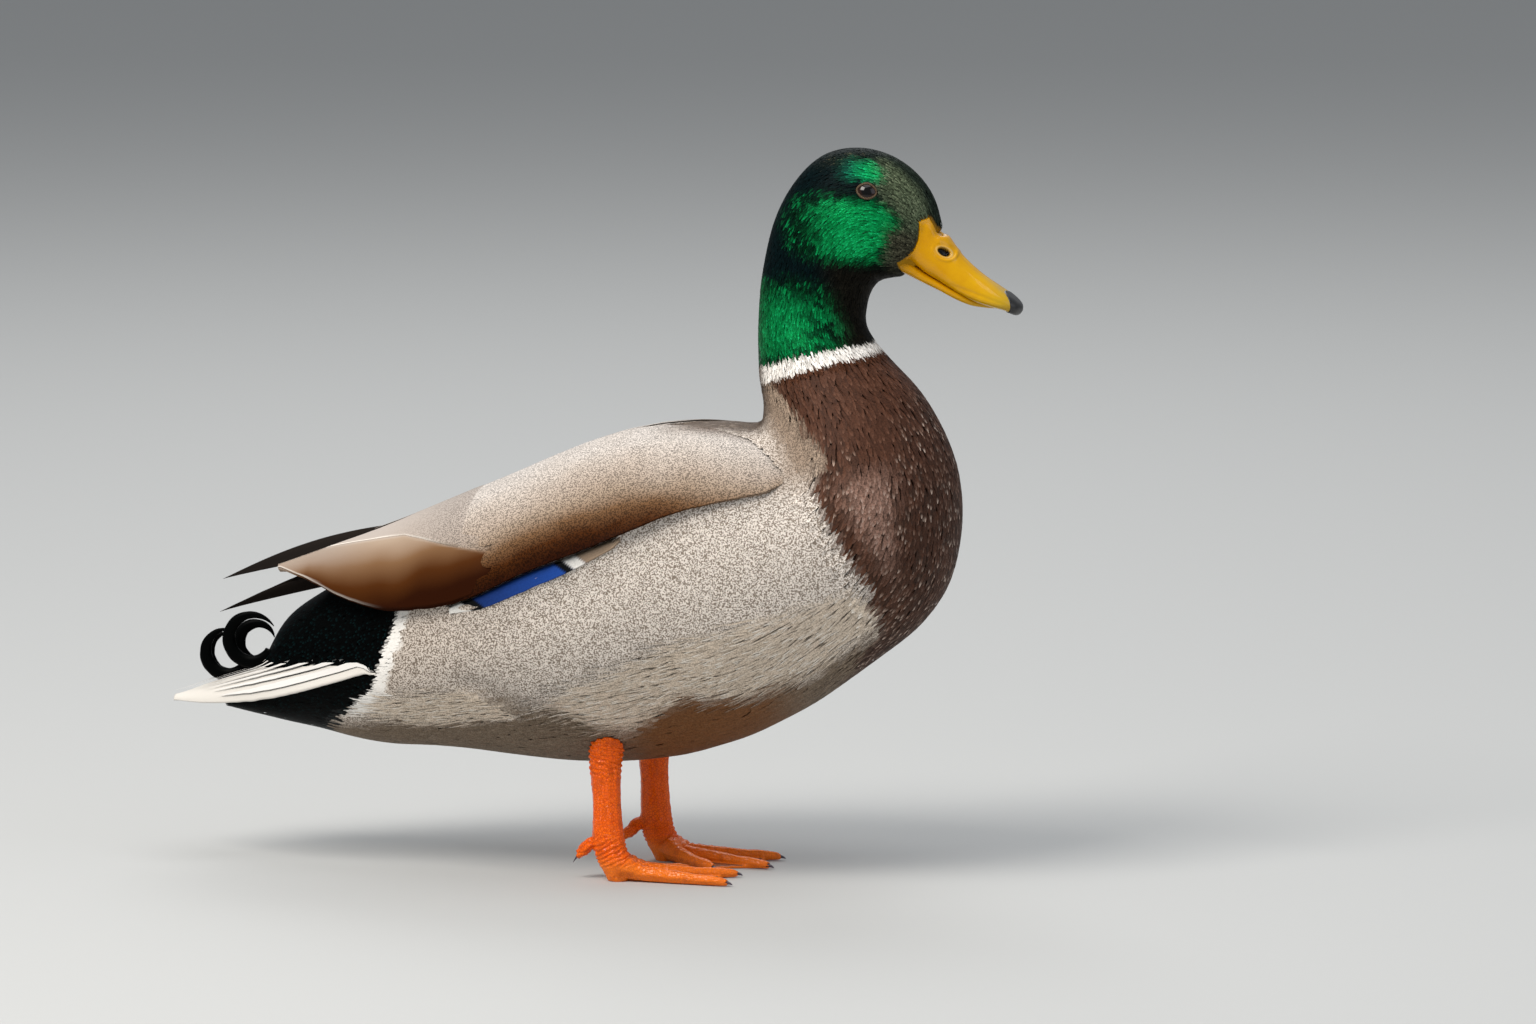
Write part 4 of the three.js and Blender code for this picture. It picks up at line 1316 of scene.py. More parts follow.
        # The lower half closes up to the upper one, but for a thin line.
        fuller = 0.25 + 0.50 * ease(0.1, 0.7, self.jaw.normals[..., 2])
        closed = self.jaw.points + self.jaw.normals * fuller[..., None]
        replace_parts(tube(closed, jaw).piece("bill_lower_horn", horn, "bill_horn"), "bill_lower")

    def nail(self, horn: Material) -> None:
        """Makes the nail, a cap that sinks under the bill outside its own outline."""
        first = int(np.argmax(self.shell.points[:, 0, 0] > self.nail_from - 6))
        points, normals = self.shell.points[first:], self.shell.normals[first:]
        inside = ease(-0.35, 0.45, self.nail_zone(points))
        height = -1.1 + 1.4 * inside
        piece = tube(points + normals * height[..., None]).piece("bill_nail_horn", horn, "nail_horn")
        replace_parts(piece, "bill_nail")


def bill_finish() -> Material:
    """Waxy living horn: orange-yellow, paler and greener at the tip, with a soft satin shine, near-black
    painted shade in the nostrils and a pale painted highlight on their rims.
    """
    made = Recipe("waxy_bill_horn")
    where = made.where()
    forward = made.add("SeparateXYZ", {0: where}).outputs[0]
    base = (0.0, "#c88e00"), (0.35, "#d09600")
    tip = (0.7, "#ce9e00"), (1.0, "#b4982a")
    plain = made.ramp(made.span(forward, 0.150, 0.203), *base, *tip)
    faint = made.span(made.noise(160.0, 3.0, Vector=where), 0.35, 0.75, high=0.4)
    nostril, _, rim = made.channels("horn")
    # The rim's pale colour is a painted highlight on the nostril's raised edge.
    rimmed = made.blend(made.math("MULTIPLY", rim, 0.5), made.blend(faint, plain, "#b87c02"), "#d2bd84")
    pores = made.noise(1 / (0.8 * MM), 2.0, Vector=where)
    return made.finish({
        # The nostril is painted near-black, as shade in its hollow.
        "Base Color": made.blend(nostril, rimmed, "#0b0908"), "Normal": made.bump(pores, 0.25, 0.1),
        "Roughness": 0.22, "Specular IOR Level": 0.18, "Coat Weight": 0.25, "Coat Roughness": 0.10})


def horn_finish(name: str, dark: str, pale: str) -> Material:
    """Hard dark horn, as of nails and claws, with a worn paler bloom."""
    made = Recipe(name)
    cloud = made.noise(420.0, 3.0, Vector=made.where())
    return made.finish({
        "Base Color": made.ramp(cloud, (0.35, dark), (0.8, pale)), "Normal": made.bump(cloud, 0.2, 0.1),
        "Roughness": 0.36})


# ---------- folded wings, tips and tail ----------
@dataclass(frozen=True)
class Arch:
    """How an open curved sheet, such as a wing or the tail, is measured from below in fans of rays."""

    rows: int
    columns: int
    low: Pair  # height of the fan's root in mm at the rear and at the front end
    start: float  # degrees from straight up
    stop: float
    blur: Pair = (3.0, 2.0)
    step: float = 0.8

    def measure(self, node: str, side: int) -> Surface:
        """Measures one node's outer surface, edge to edge.

        Args:
            node: The CAD node.
            side: -1 or 1, the side that angles open towards.

        Returns:
            Its surface, with rows from rear to front and columns from the start angle on.
        """
        low, high = in_mm(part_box(node))
        probe = Probe([node])
        angles = np.radians(np.arange(self.start, self.stop, self.step))
        xs = np.linspace(low[0] + 0.5, high[0] - 0.5, self.rows)
        roots = np.linspace(self.low[0], self.low[1], self.rows)
        edges = np.full((self.rows, 2), math.nan)
        found: list[tuple[Array, Array]] = []
        for i, (x, z) in enumerate(zip(xs, roots)):
            ways = (Vector((0, side * math.sin(a), math.cos(a))) for a in angles)
            reach = np.array([probe.reach(Vector((x, 0, z)), way)[0] for way in ways])
            good = ~np.isnan(reach)
            found.append((angles[good], reach[good]))
            if good.sum() > 1:
                edges[i] = angles[good][0], angles[good][-1]
        edges = soften(filled(edges), 1.5, 0, False)
        share = np.linspace(0, 1, self.columns)
        angle = edges[:, :1] + (edges[:, 1:] - edges[:, :1]) * share
        reach = np.full((self.rows, self.columns), math.nan)
        for i, pair in enumerate(found):
            if len(pair[0]) > 1:
                reach[i] = np.interp(angle[i], *pair)
        reach = smoothed(filled(reach), self.blur, False)
        x = np.broadcast_to(xs[:, None], reach.shape)
        y, z = side * np.sin(angle) * reach, roots[:, None] + np.cos(angle) * reach
        return Surface(np.stack([x, y, z], -1), False, side)


def sheet(over: Array, under: Array, layers: Layers) -> Cloth:
    """A closed sheet between an upper and a lower side, with the same layers on both."""
    doubled = {k: np.concatenate([v, v[:, ::-1]], axis=1) for k, v in layers.items()}
    return tube(np.concatenate([over, under[:, ::-1]], axis=1), doubled)


def shell(surface: Surface, sink: float, thick: Array | float, layers: Layers) -> Cloth:
    """A closed sheet so thick, all over or at each column, whose upper side lies sink mm under a surface."""
    over = surface.points - surface.normals * sink
    return sheet(over, over - surface.normals * np.asarray(thick)[..., None], layers)


@dataclass
class Wing:
    """One folded wing: a bed, scapulars and coverts over it, long tertials behind, and the blue speculum."""

    side: Side
    arch: Arch = Arch(rows=230, columns=72, low=(96, 128), start=0.25, stop=128)
    band_arch: Arch = Arch(rows=90, columns=22, low=(110, 120), start=30, stop=128)
    # Colours from the wing's top edge to its lower edge, and the shares of the way down where they stand:
    # its own fawn and brown, with painted light on top and painted shade deepening along the lower edge,
    # which curves under away from the light.
    shares: Row = (0.0, 0.2, 0.35, 0.5, 0.65, 0.8, 0.95)
    colours: tuple[str, ...] = (
        "#dcd4cd", "#cbbeb2", "#bcab9c", "#a8937f", "#7a5a3e", "#4c280c", "#2c1003")
    # The upper smooth quill's lower edge; then how far forward the quills are bare, as x at z.
    fold_x: Row = (-155.7, -140, -131, -114, -99, -85, -75, -62, -40)
    fold_z: Row = (143.5, 149, 151, 155.3, 158.9, 162, 161.8, 160.9, 159.5)
    bare_z: Row = (130, 138, 146, 155, 161, 165, 175, 190)
    bare_x: Row = (-57, -50, -42, -44, -52, -76, -80, -95)
    scapular: Vane = Vane(
        (0.02, 0.16, 0.34, 0.52, 0.70, 0.85, 0.95), (0.5, 0.8, 0.95, 1, 0.93, 0.72, 0.42), 8, 0.04, 0.12,
        0.0, 0.02)
    # The speculum's stripes: where each starts and stops across the band in mm, and its colour.
    stripes: tuple[tuple[float, float, str], ...] = (
        (0, 85.5, "#efece6"), (85.5, 90.7, "#07080b"), (127.7, 131.5, "#07080b"), (131.5, 137, "#efece6"),
        (137, 400, "#9a8570"))

    def __post_init__(self) -> None:
        """Measures the wing and the band of secondaries under it."""
        self.top = self.arch.measure(f"wing_{self.side.word}", self.side.value)
        self.band = self.band_arch.measure(f"secondaries_{self.side.word}", self.side.value)
        self.stops = np.array([linear(code) for code in self.colours])

    def paint(self, points: Array, barring: float) -> Layers:
        """Colours the wing: pale on top, fawn, and deep brown along the lower edge; the pale is partly
        painted light and the deep brown partly painted shade.

        Args:
            points: Places in mm.
            barring: How strongly they are barred; without bars, the fawn begins higher up.

        Returns:
            The layers ground, bar, tip and marks.
        """
        x, edge = points[..., 0], self.top.points
        high, low = (np.interp(x, edge[:, 0, 0], edge[:, column, 2]) for column in (0, -1))
        down = np.clip((high - points[..., 2]) / np.maximum(high - low, 10), 0, 1)
        fold = np.interp(x, self.fold_x, self.fold_z)
        smooth = ease(1, -1, points[..., 2] - fold) * (barring == 0)
        down = down + (0.56 + (down - 0.3) * (0.40 + 0.34 * ease(-115, -70, x)) - down) * smooth
        # The painted shade along the lower edge fades towards the front.
        down = down * (1 - 0.46 * ease(5, 95, x)) + 0.08 * (mottle(points, 14, SEED + 5) - 0.5)
        ground = np.stack([np.interp(down, self.shares, self.stops[:, i]) for i in range(3)], -1)
        brown = ease(22, 60, x) * ease(30, 12, np.abs(points[..., 1]))
        dull = ease(-30, -62, x) * (1 - smooth) * (barring == 0)
        worn = smooth * ease(-95, -130, x) * ease(0.75, 0.5, down)
        for code, share in (("#69574a", brown), ("#a89c93", 0.75 * dull), ("#94867c", 0.55 * worn)):
            ground = tinted(ground, code, share)
        bars = (barring or 0.85) * ease(-104, -48, x) * (1 - smooth)
        marks = np.stack([bars, 0.1 + 0 * bars, 0 * bars], -1)
        return {"ground": ground, "bar": ground * 0.34, "tip": ground * 1.2, "marks": marks}

    def bed(self, finish: Material) -> None:
        """Makes the closed sheet of packed feathers that the outer ones lie on."""
        thick = 0.9 + 2.2 * np.sin(math.pi * np.linspace(0, 1, self.top.columns))
        bed = shell(self.top, 0.6, thick, self.paint(self.top.points, 0.0))
        piece = bed.piece(f"wing_bed_{self.side.word}", finish, "wing_feathers")
        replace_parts(piece, f"wing_{self.side.word}")

    def level(self, xs: Row, zs: Row) -> Array:
        """The column, for each row, where the wing falls to a line given as heights zs at xs."""
        z = self.top.points[..., 2]
        target = np.interp(self.top.points[:, 0, 0], xs, zs)
        outer = np.arange(z.shape[1]) > np.argmax(z, axis=1)[:, None]
        fallen = np.concatenate([outer & (z <= target[:, None]), np.ones((len(z), 1), dtype=bool)], 1)
        first = np.clip(np.argmax(fallen, axis=1), 1, self.top.columns - 1)
        row = np.arange(len(z))
        above = z[row, first - 1]
        part = (above - target) / np.maximum(above - z[row, first], 1e-6)
        return first - 1 + np.clip(part, 0, 1)

    def quill(self, inner: Array, outer: Array, front: float, height: float, rim: Pair) -> Cloth:
        """One long smooth quill that lies along the wing.

        Args:
            inner: The column of its inner edge at each row.
            outer: That of its outer edge.
            front: Where it ends in front, as x.
            height: mm that it stands over the wing.
            rim: How pale its outer edge is, and the x in front of which it isn't.

        Returns:
            A closed thin blade.
        """
        rows = np.arange(int(np.argmax(self.top.points[:, 0, 0] > front)))
        share = np.linspace(0, 1, 30)[None]
        column = inner[rows, None] + (outer - inner)[rows, None] * share
        row = np.broadcast_to(rows[:, None], column.shape).astype(float)
        over, normals = self.top.at(row, column), self.top.facing(row, column)
        layers = self.paint(over, 0.0)
        gap = (outer[rows, None] - column) * self.top.cell(row, column)[..., 1]
        edge = ease(1.1, 0.6, gap) * rim[0] * ease(rim[1], rim[1] - 25, over[..., 0])
        layers["ground"] = tinted(layers["ground"], "#ece4da", edge)
        # The last 12 mm in front sink 0.7 mm under the wing's feathers.
        rise = height * ease(front, front - 12, over[..., 0]) - 0.7 * ease(front - 12, front, over[..., 0])
        under = rise - 0.15 - 0.5 * np.sin(math.pi * share)
        return sheet(over + normals * rise[..., None], over + normals * under[..., None], layers)

    def scapulars(self, finish: Material, rng: Random) -> None:
        """Makes the smooth, finely barred feathers over shoulder and wing."""
        top = self.top
        x = top.points[..., 0]
        row, column = top.scatter(6.5, (x > -92) & (x < 112), rng)
        count = len(row)
        length, width = rng.normal(24, 1.5, count), rng.normal(14, 0.8, count)
        heading = np.radians(2.5) * rng.normal(size=count)
        roots = Roots(row, column, length, width, heading, np.zeros(count), rng.random(count))
        ends = top.at(row - roots.length / top.cell(row, column)[:, 0], column)
        roots = roots.keep(ends[:, 0] > np.interp(ends[:, 2], self.bare_z, self.bare_x))
        cloth = lay(top, self.scapular, roots)
        cloth.layers.update(self.paint(cloth.points, 0.9))
        cloth.piece(f"scapulars_{self.side.word}", finish, "wing_feathers")

    def tertials(self, finish: Material) -> None:
        """Makes the two long smooth inner quills that end the folded wing, one partly over the other."""
        last = np.full(self.top.rows, self.top.columns - 1.0)
        fold = self.level(self.fold_x, self.fold_z)
        lower = self.quill(np.maximum(fold - 6, 0), last * 0.99, -34, 0.1, (0.5, -90))
        upper = self.quill(last * 0, fold, -46, 0.35, (1.0, -55))
        joined([lower, upper]).piece(f"tertials_{self.side.word}", finish, "wing_feathers")

    def speculum(self, finish: Material) -> None:
        """Makes the mirror band: blue between black bars, with white beyond them."""
        points = self.band.points
        slant = 0.545 * points[..., 0] + 0.84 * points[..., 2]
        ground = tinted(linear("#1a3778"), "#2450a8", np.clip((slant - 90) / 40, 0, 1))
        for low, high, code in self.stripes:
            ground = tinted(ground, code, ease(-0.35, 0.35, slant - low) * ease(0.35, -0.35, slant - high))
        band = shell(self.band, 0.2, 1.2, plain(ground, marks=(0.25, 0, 0.6)))
        piece = band.piece(f"speculum_{self.side.word}", finish, "speculum_feathers")
        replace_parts(piece, f"secondaries_{self.side.word}")


@dataclass
class WingTip:
    """The folded primaries: narrow dark blades that show behind the tertials."""

    side: Side
    blades: int = 4
    spread: float = 2.6  # mm between one blade and the next
    stagger: float = 9.0  # mm from one tip to the next
    quill: float = 0.25  # mm that the quill stands up in the middle
    thick: float = 0.32  # mm, half a blade's thickness

    @property
    def half(self) -> float:
        """Half the width of a blade in mm; those of the left wing show more of themselves."""
        return 5.4 if self.side is Side.LEFT else 4.4

    def make(self, finish: Material) -> None:
        """Builds the blades along the frame's own wing tip."""
        node = f"primaries_{self.side.word}"
        points = Probe([node]).points
        x = points[:, 0]
        rear, front = x.min(), x.max() + 6
        curve = [np.polyfit(x, points[:, axis], 2) for axis in (1, 2)]
        tilt = math.radians(62 if self.side is Side.LEFT else -58)
        across = np.array([0, math.cos(tilt), math.sin(tilt)])
        off = np.array([0, -math.sin(tilt), math.cos(tilt)])
        u, turn = np.linspace(0, 1, 40), circle(14)
        cos, sin = np.cos(turn), np.sin(turn)
        section = self.thick * sin + self.quill * bell(cos, 0.12) * (sin > 0)
        rank = -self.side.value  # each shorter blade lies higher on the right, and lower on the left
        parts = []
        for n in range(self.blades):
            at = front + (rear + 0.5 + self.stagger * n - front) * u
            middle = np.stack([at, np.polyval(curve[0], at), np.polyval(curve[1], at)], -1)
            middle[:, 2] += self.spread * (n - 0.4) * 0.6 * (1 - 0.6 * u) * rank
            middle = middle + off * (0.55 * n - 0.6) * (1 - 0.5 * u[:, None])
            half = self.half * np.clip(1 - u**3.2, 0.02, 1) * (0.75 + 0.25 * np.sin(math.pi * u))
            wide = half[:, None, None] * cos[None, :, None] * across
            thick = section[None, :, None] * off * np.clip(half / 3, 0.1, 1)[:, None, None]
            ring = middle[:, None] + wide + thick
            edge = np.abs(cos)[None, :, None]
            ground = linear("#1d1815") * (1 + 0.5 * edge) * (1 - 0.35 * u[:, None, None])
            parts.append(tube(ring, plain(ground)))
        piece = joined(parts).piece(f"wing_tip_{self.side.word}", finish, "primary_feathers")
        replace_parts(piece, node)


@dataclass
class Tail:
    """The white tail: a fan of quills over a thin bed, each shorter than the one inside it."""

    arch: Arch = Arch(rows=120, columns=80, low=(70, 84), start=-88, stop=88.5, blur=(2.5, 2.0))
    quills: int = 9  # on each side
    longest: float = 110.0  # mm, the quill nearest the middle
    shortening: float = 32.0  # mm that the outermost is shorter
    raised: float = 0.8  # mm that the bed lies under the surface, and the middle quills over it
    overlap: float = 1.3  # a quill's width, as a share of its place in the fan
    reach: float = 0.97  # how far out towards the bed's edge the places go
    bed_thick: float = 0.8
    bed: str = "#dad5cd"
    white: str = "#e0ddd9"
    grey: str = "#8f8377"

    def make(self, finish: Material) -> None:
        """Builds the bed and the quills."""
        surface = self.arch.measure("tail", 1)
        white = np.zeros(surface.points.shape) + linear(self.bed)
        bed = shell(surface, self.raised, self.bed_thick, plain(white, 0.7))
        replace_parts(bed.piece("tail_bed", finish, "tail_feathers"), "tail")
        stations = tuple(np.linspace(0.02, 0.97, 22))
        widths = tuple(float(1 - max(0.0, (s - 0.45) / 0.55) ** 2.0 * 0.86) for s in stations)
        vane = Vane(stations, widths, 16, 0.06, 0.3, 0.05, 0.06)
        outs = [(side, (n + 0.25) / self.quills) for side in Side for n in range(self.quills)]
        parts = [self.quill(surface, vane, side, out) for side, out in outs]
        joined(parts).piece("tail_quills", finish, "tail_feathers")

    def quill(self, surface: Surface, vane: Vane, side: Side, out: float) -> Cloth:
        """One quill, with a grey shaft and outer web near the middle of the tail.

        Args:
            surface: The tail's own.
            vane: The quill's shape.
            side: Which side of the tail it is on.
            out: How far it stands from the middle, as a share of the half width.

        Returns:
            The quill, painted.
        """
        columns = surface.columns - 1
        column = (0.5 + 0.5 * out * side.value * self.reach) * columns
        at = np.array([surface.rows - 2.0]), np.array([column])
        length = self.longest - self.shortening * out**1.4
        width = self.overlap * columns / self.quills * surface.cell(*at)[0, 1]
        sizes = (length, width, 0, 0.4 * (1 - out), 0.5)
        cloth = lay(surface, vane, Roots(*at, *(np.array([value], dtype=float) for value in sizes)))
        cloth.points += cloth.lie * self.raised * (1 - out)
        u, v, _, _ = vane.pattern()
        across, outs = v * side.value, np.full(len(u), out)
        shaft = bell(across - 0.62, 0.12) * ease(0.95, 0.3, outs)
        web = ease(0.7, 0.0, outs) * (0.1 + 0.5 * ease(0.3, 0.9, across))
        ground = tinted(linear(self.white), self.grey, np.clip(0.6 * shaft + 0.4 * web, 0, 1))
        cloth.layers.update(plain(ground, 0.75))
        return cloth


@dataclass
class Curl:
    """One of the black upper tail coverts that curl forwards into a ring."""

    name: str
    start: float  # degrees where the ring leaves the tail
    sweep: float
    tip: float  # mm radius at the tip
    radius: float = 10.3
    deep: float = 3.3
    wide: float = 2.1

    def make(self, finish: Material) -> None:
        """Builds the curl round the middle of the frame's own ring."""
        low, high = in_mm(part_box(self.name))
        outer = self.radius + self.deep
        middle = np.array([low[0] + outer - 0.1, (low[1] + high[1]) / 2, high[2] - outer + 0.1])
        share = np.linspace(-0.03, 1, 90)[:, None]
        turn = circle(20)[None]
        angle = np.radians(self.start - self.sweep * share)
        s = np.clip(share, 0, 1)
        radius = self.radius + (self.tip - self.radius) * s**2
        taper = (1 - s**3) ** 0.8 * (0.7 + 0.3 * np.sin(math.pi * s)) + 0.05
        ragged = 1 + 0.04 * np.sin(30 * s + 6 * turn)
        away = radius + np.cos(turn) * self.deep * taper * ragged
        beside = np.sin(turn) * self.wide * taper
        points = np.stack([np.cos(angle) * away, beside + 0 * angle, np.sin(angle) * away], -1) + middle
        plume = tube(points, Paint(points, Patch.BLACK).layers)
        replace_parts(plume.piece(f"{self.name}_plume", finish, "curl_feathers"), self.name)


# ---------- legs ----------
@dataclass
class Leg:
    """A webbed foot and its shank in one scaly skin, with the claws."""

    side: Side
    voxel: float = 0.5  # mm grid on which the solids are fused
    smoothing: int = 6
    # How far in mm the shank's and the ankle's folds, the scales, the instep and the hind toe stand out.
    folds: float = 0.40
    ankle: float = 0.28
    pebble: float = 0.30
    instep: float = 2.0
    plump: float = 0.9
    web: float = 2.6  # mm: the web's upper side lies below this height, and the toes stand above it

    def form(self, nodes: list[str]) -> tuple[Array, Array, Array]:
        """Fuses some solids into one smooth form.

        Args:
            nodes: The solids.

        Returns:
            Its points in mm, the way each faces, and its triangles.
        """
        probe = Probe(nodes)
        rough = bpy.data.meshes.new("leg_form")
        rough.from_pydata([tuple(p * MM) for p in probe.points], [], probe.faces)
        form = placed("leg_form", rough)
        fuse = form.modifiers.new("fuse", "REMESH")
        fuse.mode, fuse.voxel_size = "VOXEL", self.voxel * MM
        relax = form.modifiers.new("relax", "SMOOTH")
        relax.factor, relax.iterations = 0.5, self.smoothing
        fine = form.evaluated_get(bpy.context.evaluated_depsgraph_get()).to_mesh()
        fine.calc_loop_triangles()
        points, normals = (read_mesh(fine.vertices, name) for name in ("co", "normal"))
        triangles = read_mesh(fine.loop_triangles, "vertices", kind=np.int32)
        form.to_mesh_clear()
        bpy.data.objects.remove(form)
        return points / MM, normals, triangles

    def skin(self, finish: Material) -> None:
        """Makes shank, foot and hind toe of one skin, and raises its folds and scales."""
        nodes = [f"{part}_{self.side.word}" for part in ("shank", "foot", "hallux")]
        points, normals, triangles = self.form(nodes)
        x, z = points[:, 0], points[:, 2]
        wave = mottle(points, 3.0, SEED + 8)
        folds = np.sin(2 * math.pi * (z + 2.0 * wave + 0.25 * x) / 2.6)
        lift = self.folds * ease(46, 56, z) * folds
        ring = np.sin(2 * math.pi * (z - 0.5 * x + 2 * wave) / 2.4)
        lift += self.ankle * ease(5, 9, z) * ease(24, 16, z) * ring
        lift += self.pebble * (mottle(points, 1.2, SEED + 9) - 0.5)
        # The instep fills the corner in front of the ankle, and the hind toe is plump.
        shank, stub = (in_mm(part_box(f"{part}_{self.side.word}")) for part in ("shank", "hallux"))
        lift += self.instep * np.exp(-(((x - shank[1, 0]) / 4.5) ** 2) - ((z - 9) / 5) ** 2)
        lift += self.plump * ease(stub[1, 0] - 1, stub[1, 0] - 4, x)
        points = points + normals * (lift * ease(0.3, 1.2, z))[:, None]
        points[:, 2] = np.maximum(points[:, 2], 0.0)
        web = ease(self.web + 0.8, self.web, z) * ease(0.8, 0.93, normals[:, 2])
        cloth = Cloth(points, triangles, {"web": np.stack([web, 0.5 * ease(14, 5, z), wave], -1)})
        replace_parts(cloth.piece(f"leg_skin_{self.side.word}", finish, "leg_skin"), *nodes)

    def claws(self, finish: Material) -> None:
        """Rounds each claw's solid into smooth horn."""
        for toe in ("hind", "inner", "middle", "outer"):
            node = f"claw_{toe}_{self.side.word}"
            form = bpy.data.objects[node].copy()
            form.data = form.data.copy()
            bpy.context.scene.collection.objects.link(form)
            weld = form.modifiers.new("weld", "WELD")
            weld.merge_threshold = 0.02 * MM
            fine = form.modifiers.new("fine", "SUBSURF")
            fine.levels = fine.render_levels = 2
            mesh = bpy.data.meshes.new_from_object(form.evaluated_get(bpy.context.evaluated_depsgraph_get()))
            bpy.data.objects.remove(form)
            mesh.materials.clear()
            mesh.materials.append(finish)
            piece = placed(f"{node}_horn", mesh)
            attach(piece, "root")
            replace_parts(piece, node)


def leg_finish() -> Material:
    """Wet-looking leather of small raised scales: bright orange, redder and darker in the grooves as painted
    shade, brown on the web.
    """
    made = Recipe("scaly_orange_leg_skin")
    where = made.where()
    web, toes, stain = made.channels("web")
    scales = {"Vector": where, "Scale": 1 / (SCALE * MM)}
    cracks = made.add("TexVoronoi", scales, feature="DISTANCE_TO_EDGE").outputs[0]
    rise = made.span(cracks, 0.0, 0.16, soft=True)
    # Painted shade: the grooves between the scales are darker and redder.
    leather = made.ramp(rise, (0.0, "#cc4604"), (0.5, "#fb6200"), (1.0, "#ff6e08"))
    patch = made.span(made.noise(130.0, 3.0, Vector=where), 0.4, 0.7, high=0.5)
    worn = made.span(stain, 0.60, 0.85, high=0.3, soft=True)
    layers = (patch, "#f05800"), (toes, "#f08a2a"), (worn, "#b8480c"), (web, "#8a5a42")
    for share, code in layers:
        leather = made.blend(share, leather, code)
    return made.finish({
        "Base Color": leather, "Normal": made.bump(rise, 0.6, 0.25), "Roughness": 0.16,
        "Specular IOR Level": 0.24})


# ---------- studio ----------
@dataclass(frozen=True)
class Studio:
    """A plain pale floor, large soft lights and the camera."""

    azimuth: float = 11.0  # degrees round from the duck's right side towards its front
    elevation: float = 8.0
    distance: float = 6.0  # m
    aim: tuple[float, float, float] = (0.0833, 0.0, 0.1731)
    width: float = 0.7245  # m that the frame spans at the duck
    middle: tuple[float, float, float] = (0.0, 0.0, 0.18)  # where the lights are turned to
    away: float = 2.5  # m from there to each light
    sensor: float = 36.0  # mm
    floor: float = 40.0  # m, its radius
    # Each light's name, azimuth, elevation, side in m, power in watts and colour.
    lights: tuple[tuple[str, float, float, float, float, str], ...] = (
        ("key", -32, 48, 1.2, 60, "#fffaf3"), ("top", 40, 80, 1.8, 20, "#ffffff"),
        ("fill", 75, 22, 1.6, 9, "#e9f1ff"), ("rear", 190, 45, 1.6, 22, "#ffffff"))

    def back(self, azimuth: float, elevation: float) -> Vector:
        """The direction from the duck towards a place round it."""
        a, e = math.radians(azimuth), math.radians(elevation)
        return Vector((math.sin(a) * math.cos(e), -math.cos(a) * math.cos(e), math.sin(e)))

    def camera(self) -> None:
        """Places the camera."""
        data = bpy.data.cameras.new("camera")
        data.sensor_width = self.sensor
        data.lens = self.sensor * self.distance / self.width
        data.clip_end = 100
        camera = placed("camera", data)
        back = self.back(self.azimuth, self.elevation)
        camera.location = Vector(self.aim) + back * self.distance
        camera.rotation_euler = (-back).to_track_quat("-Z", "Y").to_euler()
        bpy.context.scene.camera = camera

    def light(self, name: str, azimuth: float, elevation: float, size: float, power: float,
              code: str) -> None:
        """Adds one square soft light, turned to the duck; lights says what each number is."""
        data = bpy.data.lights.new(name, "AREA")
        data.size, data.energy = size, power
        data.color = linear(code)
        light = placed(name, data)
        back = self.back(azimuth, elevation)
        light.location = Vector(self.middle) + back * self.away
        light.rotation_euler = (-back).to_track_quat("-Z", "Y").to_euler()
        light.visible_camera = False

    def build(self) -> None:
        """Makes floor, world, lights and camera."""
        floor = bpy.data.meshes.new("floor")
        ring = [(self.floor * math.cos(a), self.floor * math.sin(a), 0) for a in circle(64)]
        floor.from_pydata(ring, [], [tuple(range(len(ring)))])
        paper = Recipe("matt_pale_paper")
        grey = paper.ramp(paper.noise(3.0, 2.0), (0.3, "#b9bab9"), (0.7, "#c0c1c0"))
        floor.materials.append(paper.finish({"Base Color": grey, "Roughness": 0.9}))
        ground = placed("floor", floor)
        world = bpy.data.worlds.new("studio")
        world.use_nodes = True
        sky = world.node_tree.nodes["Background"]
        sky.inputs["Color"].default_value = rgba("#dfe4ea")
        sky.inputs["Strength"].default_value = 0.40
        bpy.context.scene.world = world
        bpy.context.scene.view_settings.view_transform = "Standard"
        for light in self.lights:
            self.light(*light)
        self.camera()


# ---------- the whole duck ----------
DOWN = Vane((0.06, 0.5, 0.88), (0.55, 1.0, 0.6), 4, 0.05, 0.3, 0.06, 0.30)
SLEEK = Vane((0.04, 0.36, 0.70, 0.93), (0.55, 1.0, 0.9, 0.45), 4, 0.03, 0.12, 0.01, 0.06)
HAIRY = Vane((0.04, 0.40, 0.75, 0.95), (0.55, 1.0, 0.8, 0.35), 4, 0.08, 0.4, 0.07, 0.30)
STRAND = Vane((0.04, 0.35, 0.7, 0.95), (0.5, 1.0, 0.8, 0.35), 3, 0.22, 0.5, 0.22, 0.35)
HEAD, BODY = "head_feathers", "body_feathers"
TRACTS = (
    *(Tract(f"face_{side.word}", HEAD, "glossy", DOWN, 0.88, 3.9, 1.0, 7, 0.05, 0.4) for side in Side),
    Tract("neck", HEAD, "glossy", DOWN, 0.9, 3.8, 1.0, 8, 0.10, 0.35),
    Tract("breast", "breast_feathers", "breast", HAIRY, 1.6, 7.5, 1.9, 7, 0.08, 0.8),
    *(Tract(f"flank_{side.word}", BODY, "loose", SLEEK, 1.8, 9.0, 3.6, 6, 0.01, 0.5) for side in Side),
    Tract("fringe", BODY, "loose", STRAND, 1.5, 17.0, 1.25, 8, 0.30, 1.2),
    Tract("belly", BODY, "loose", SLEEK, 2.0, 8.0, 2.8, 7, 0.03, 0.8),
    Tract("band", "tail_feathers", "loose", SLEEK, 1.0, 3.4, 1.2, 4, 0.01, 0.2),
    Tract("rump", "curl_feathers", "velvet", SLEEK, 1.35, 4.6, 1.6, 5, 0.01, 0.15),
)


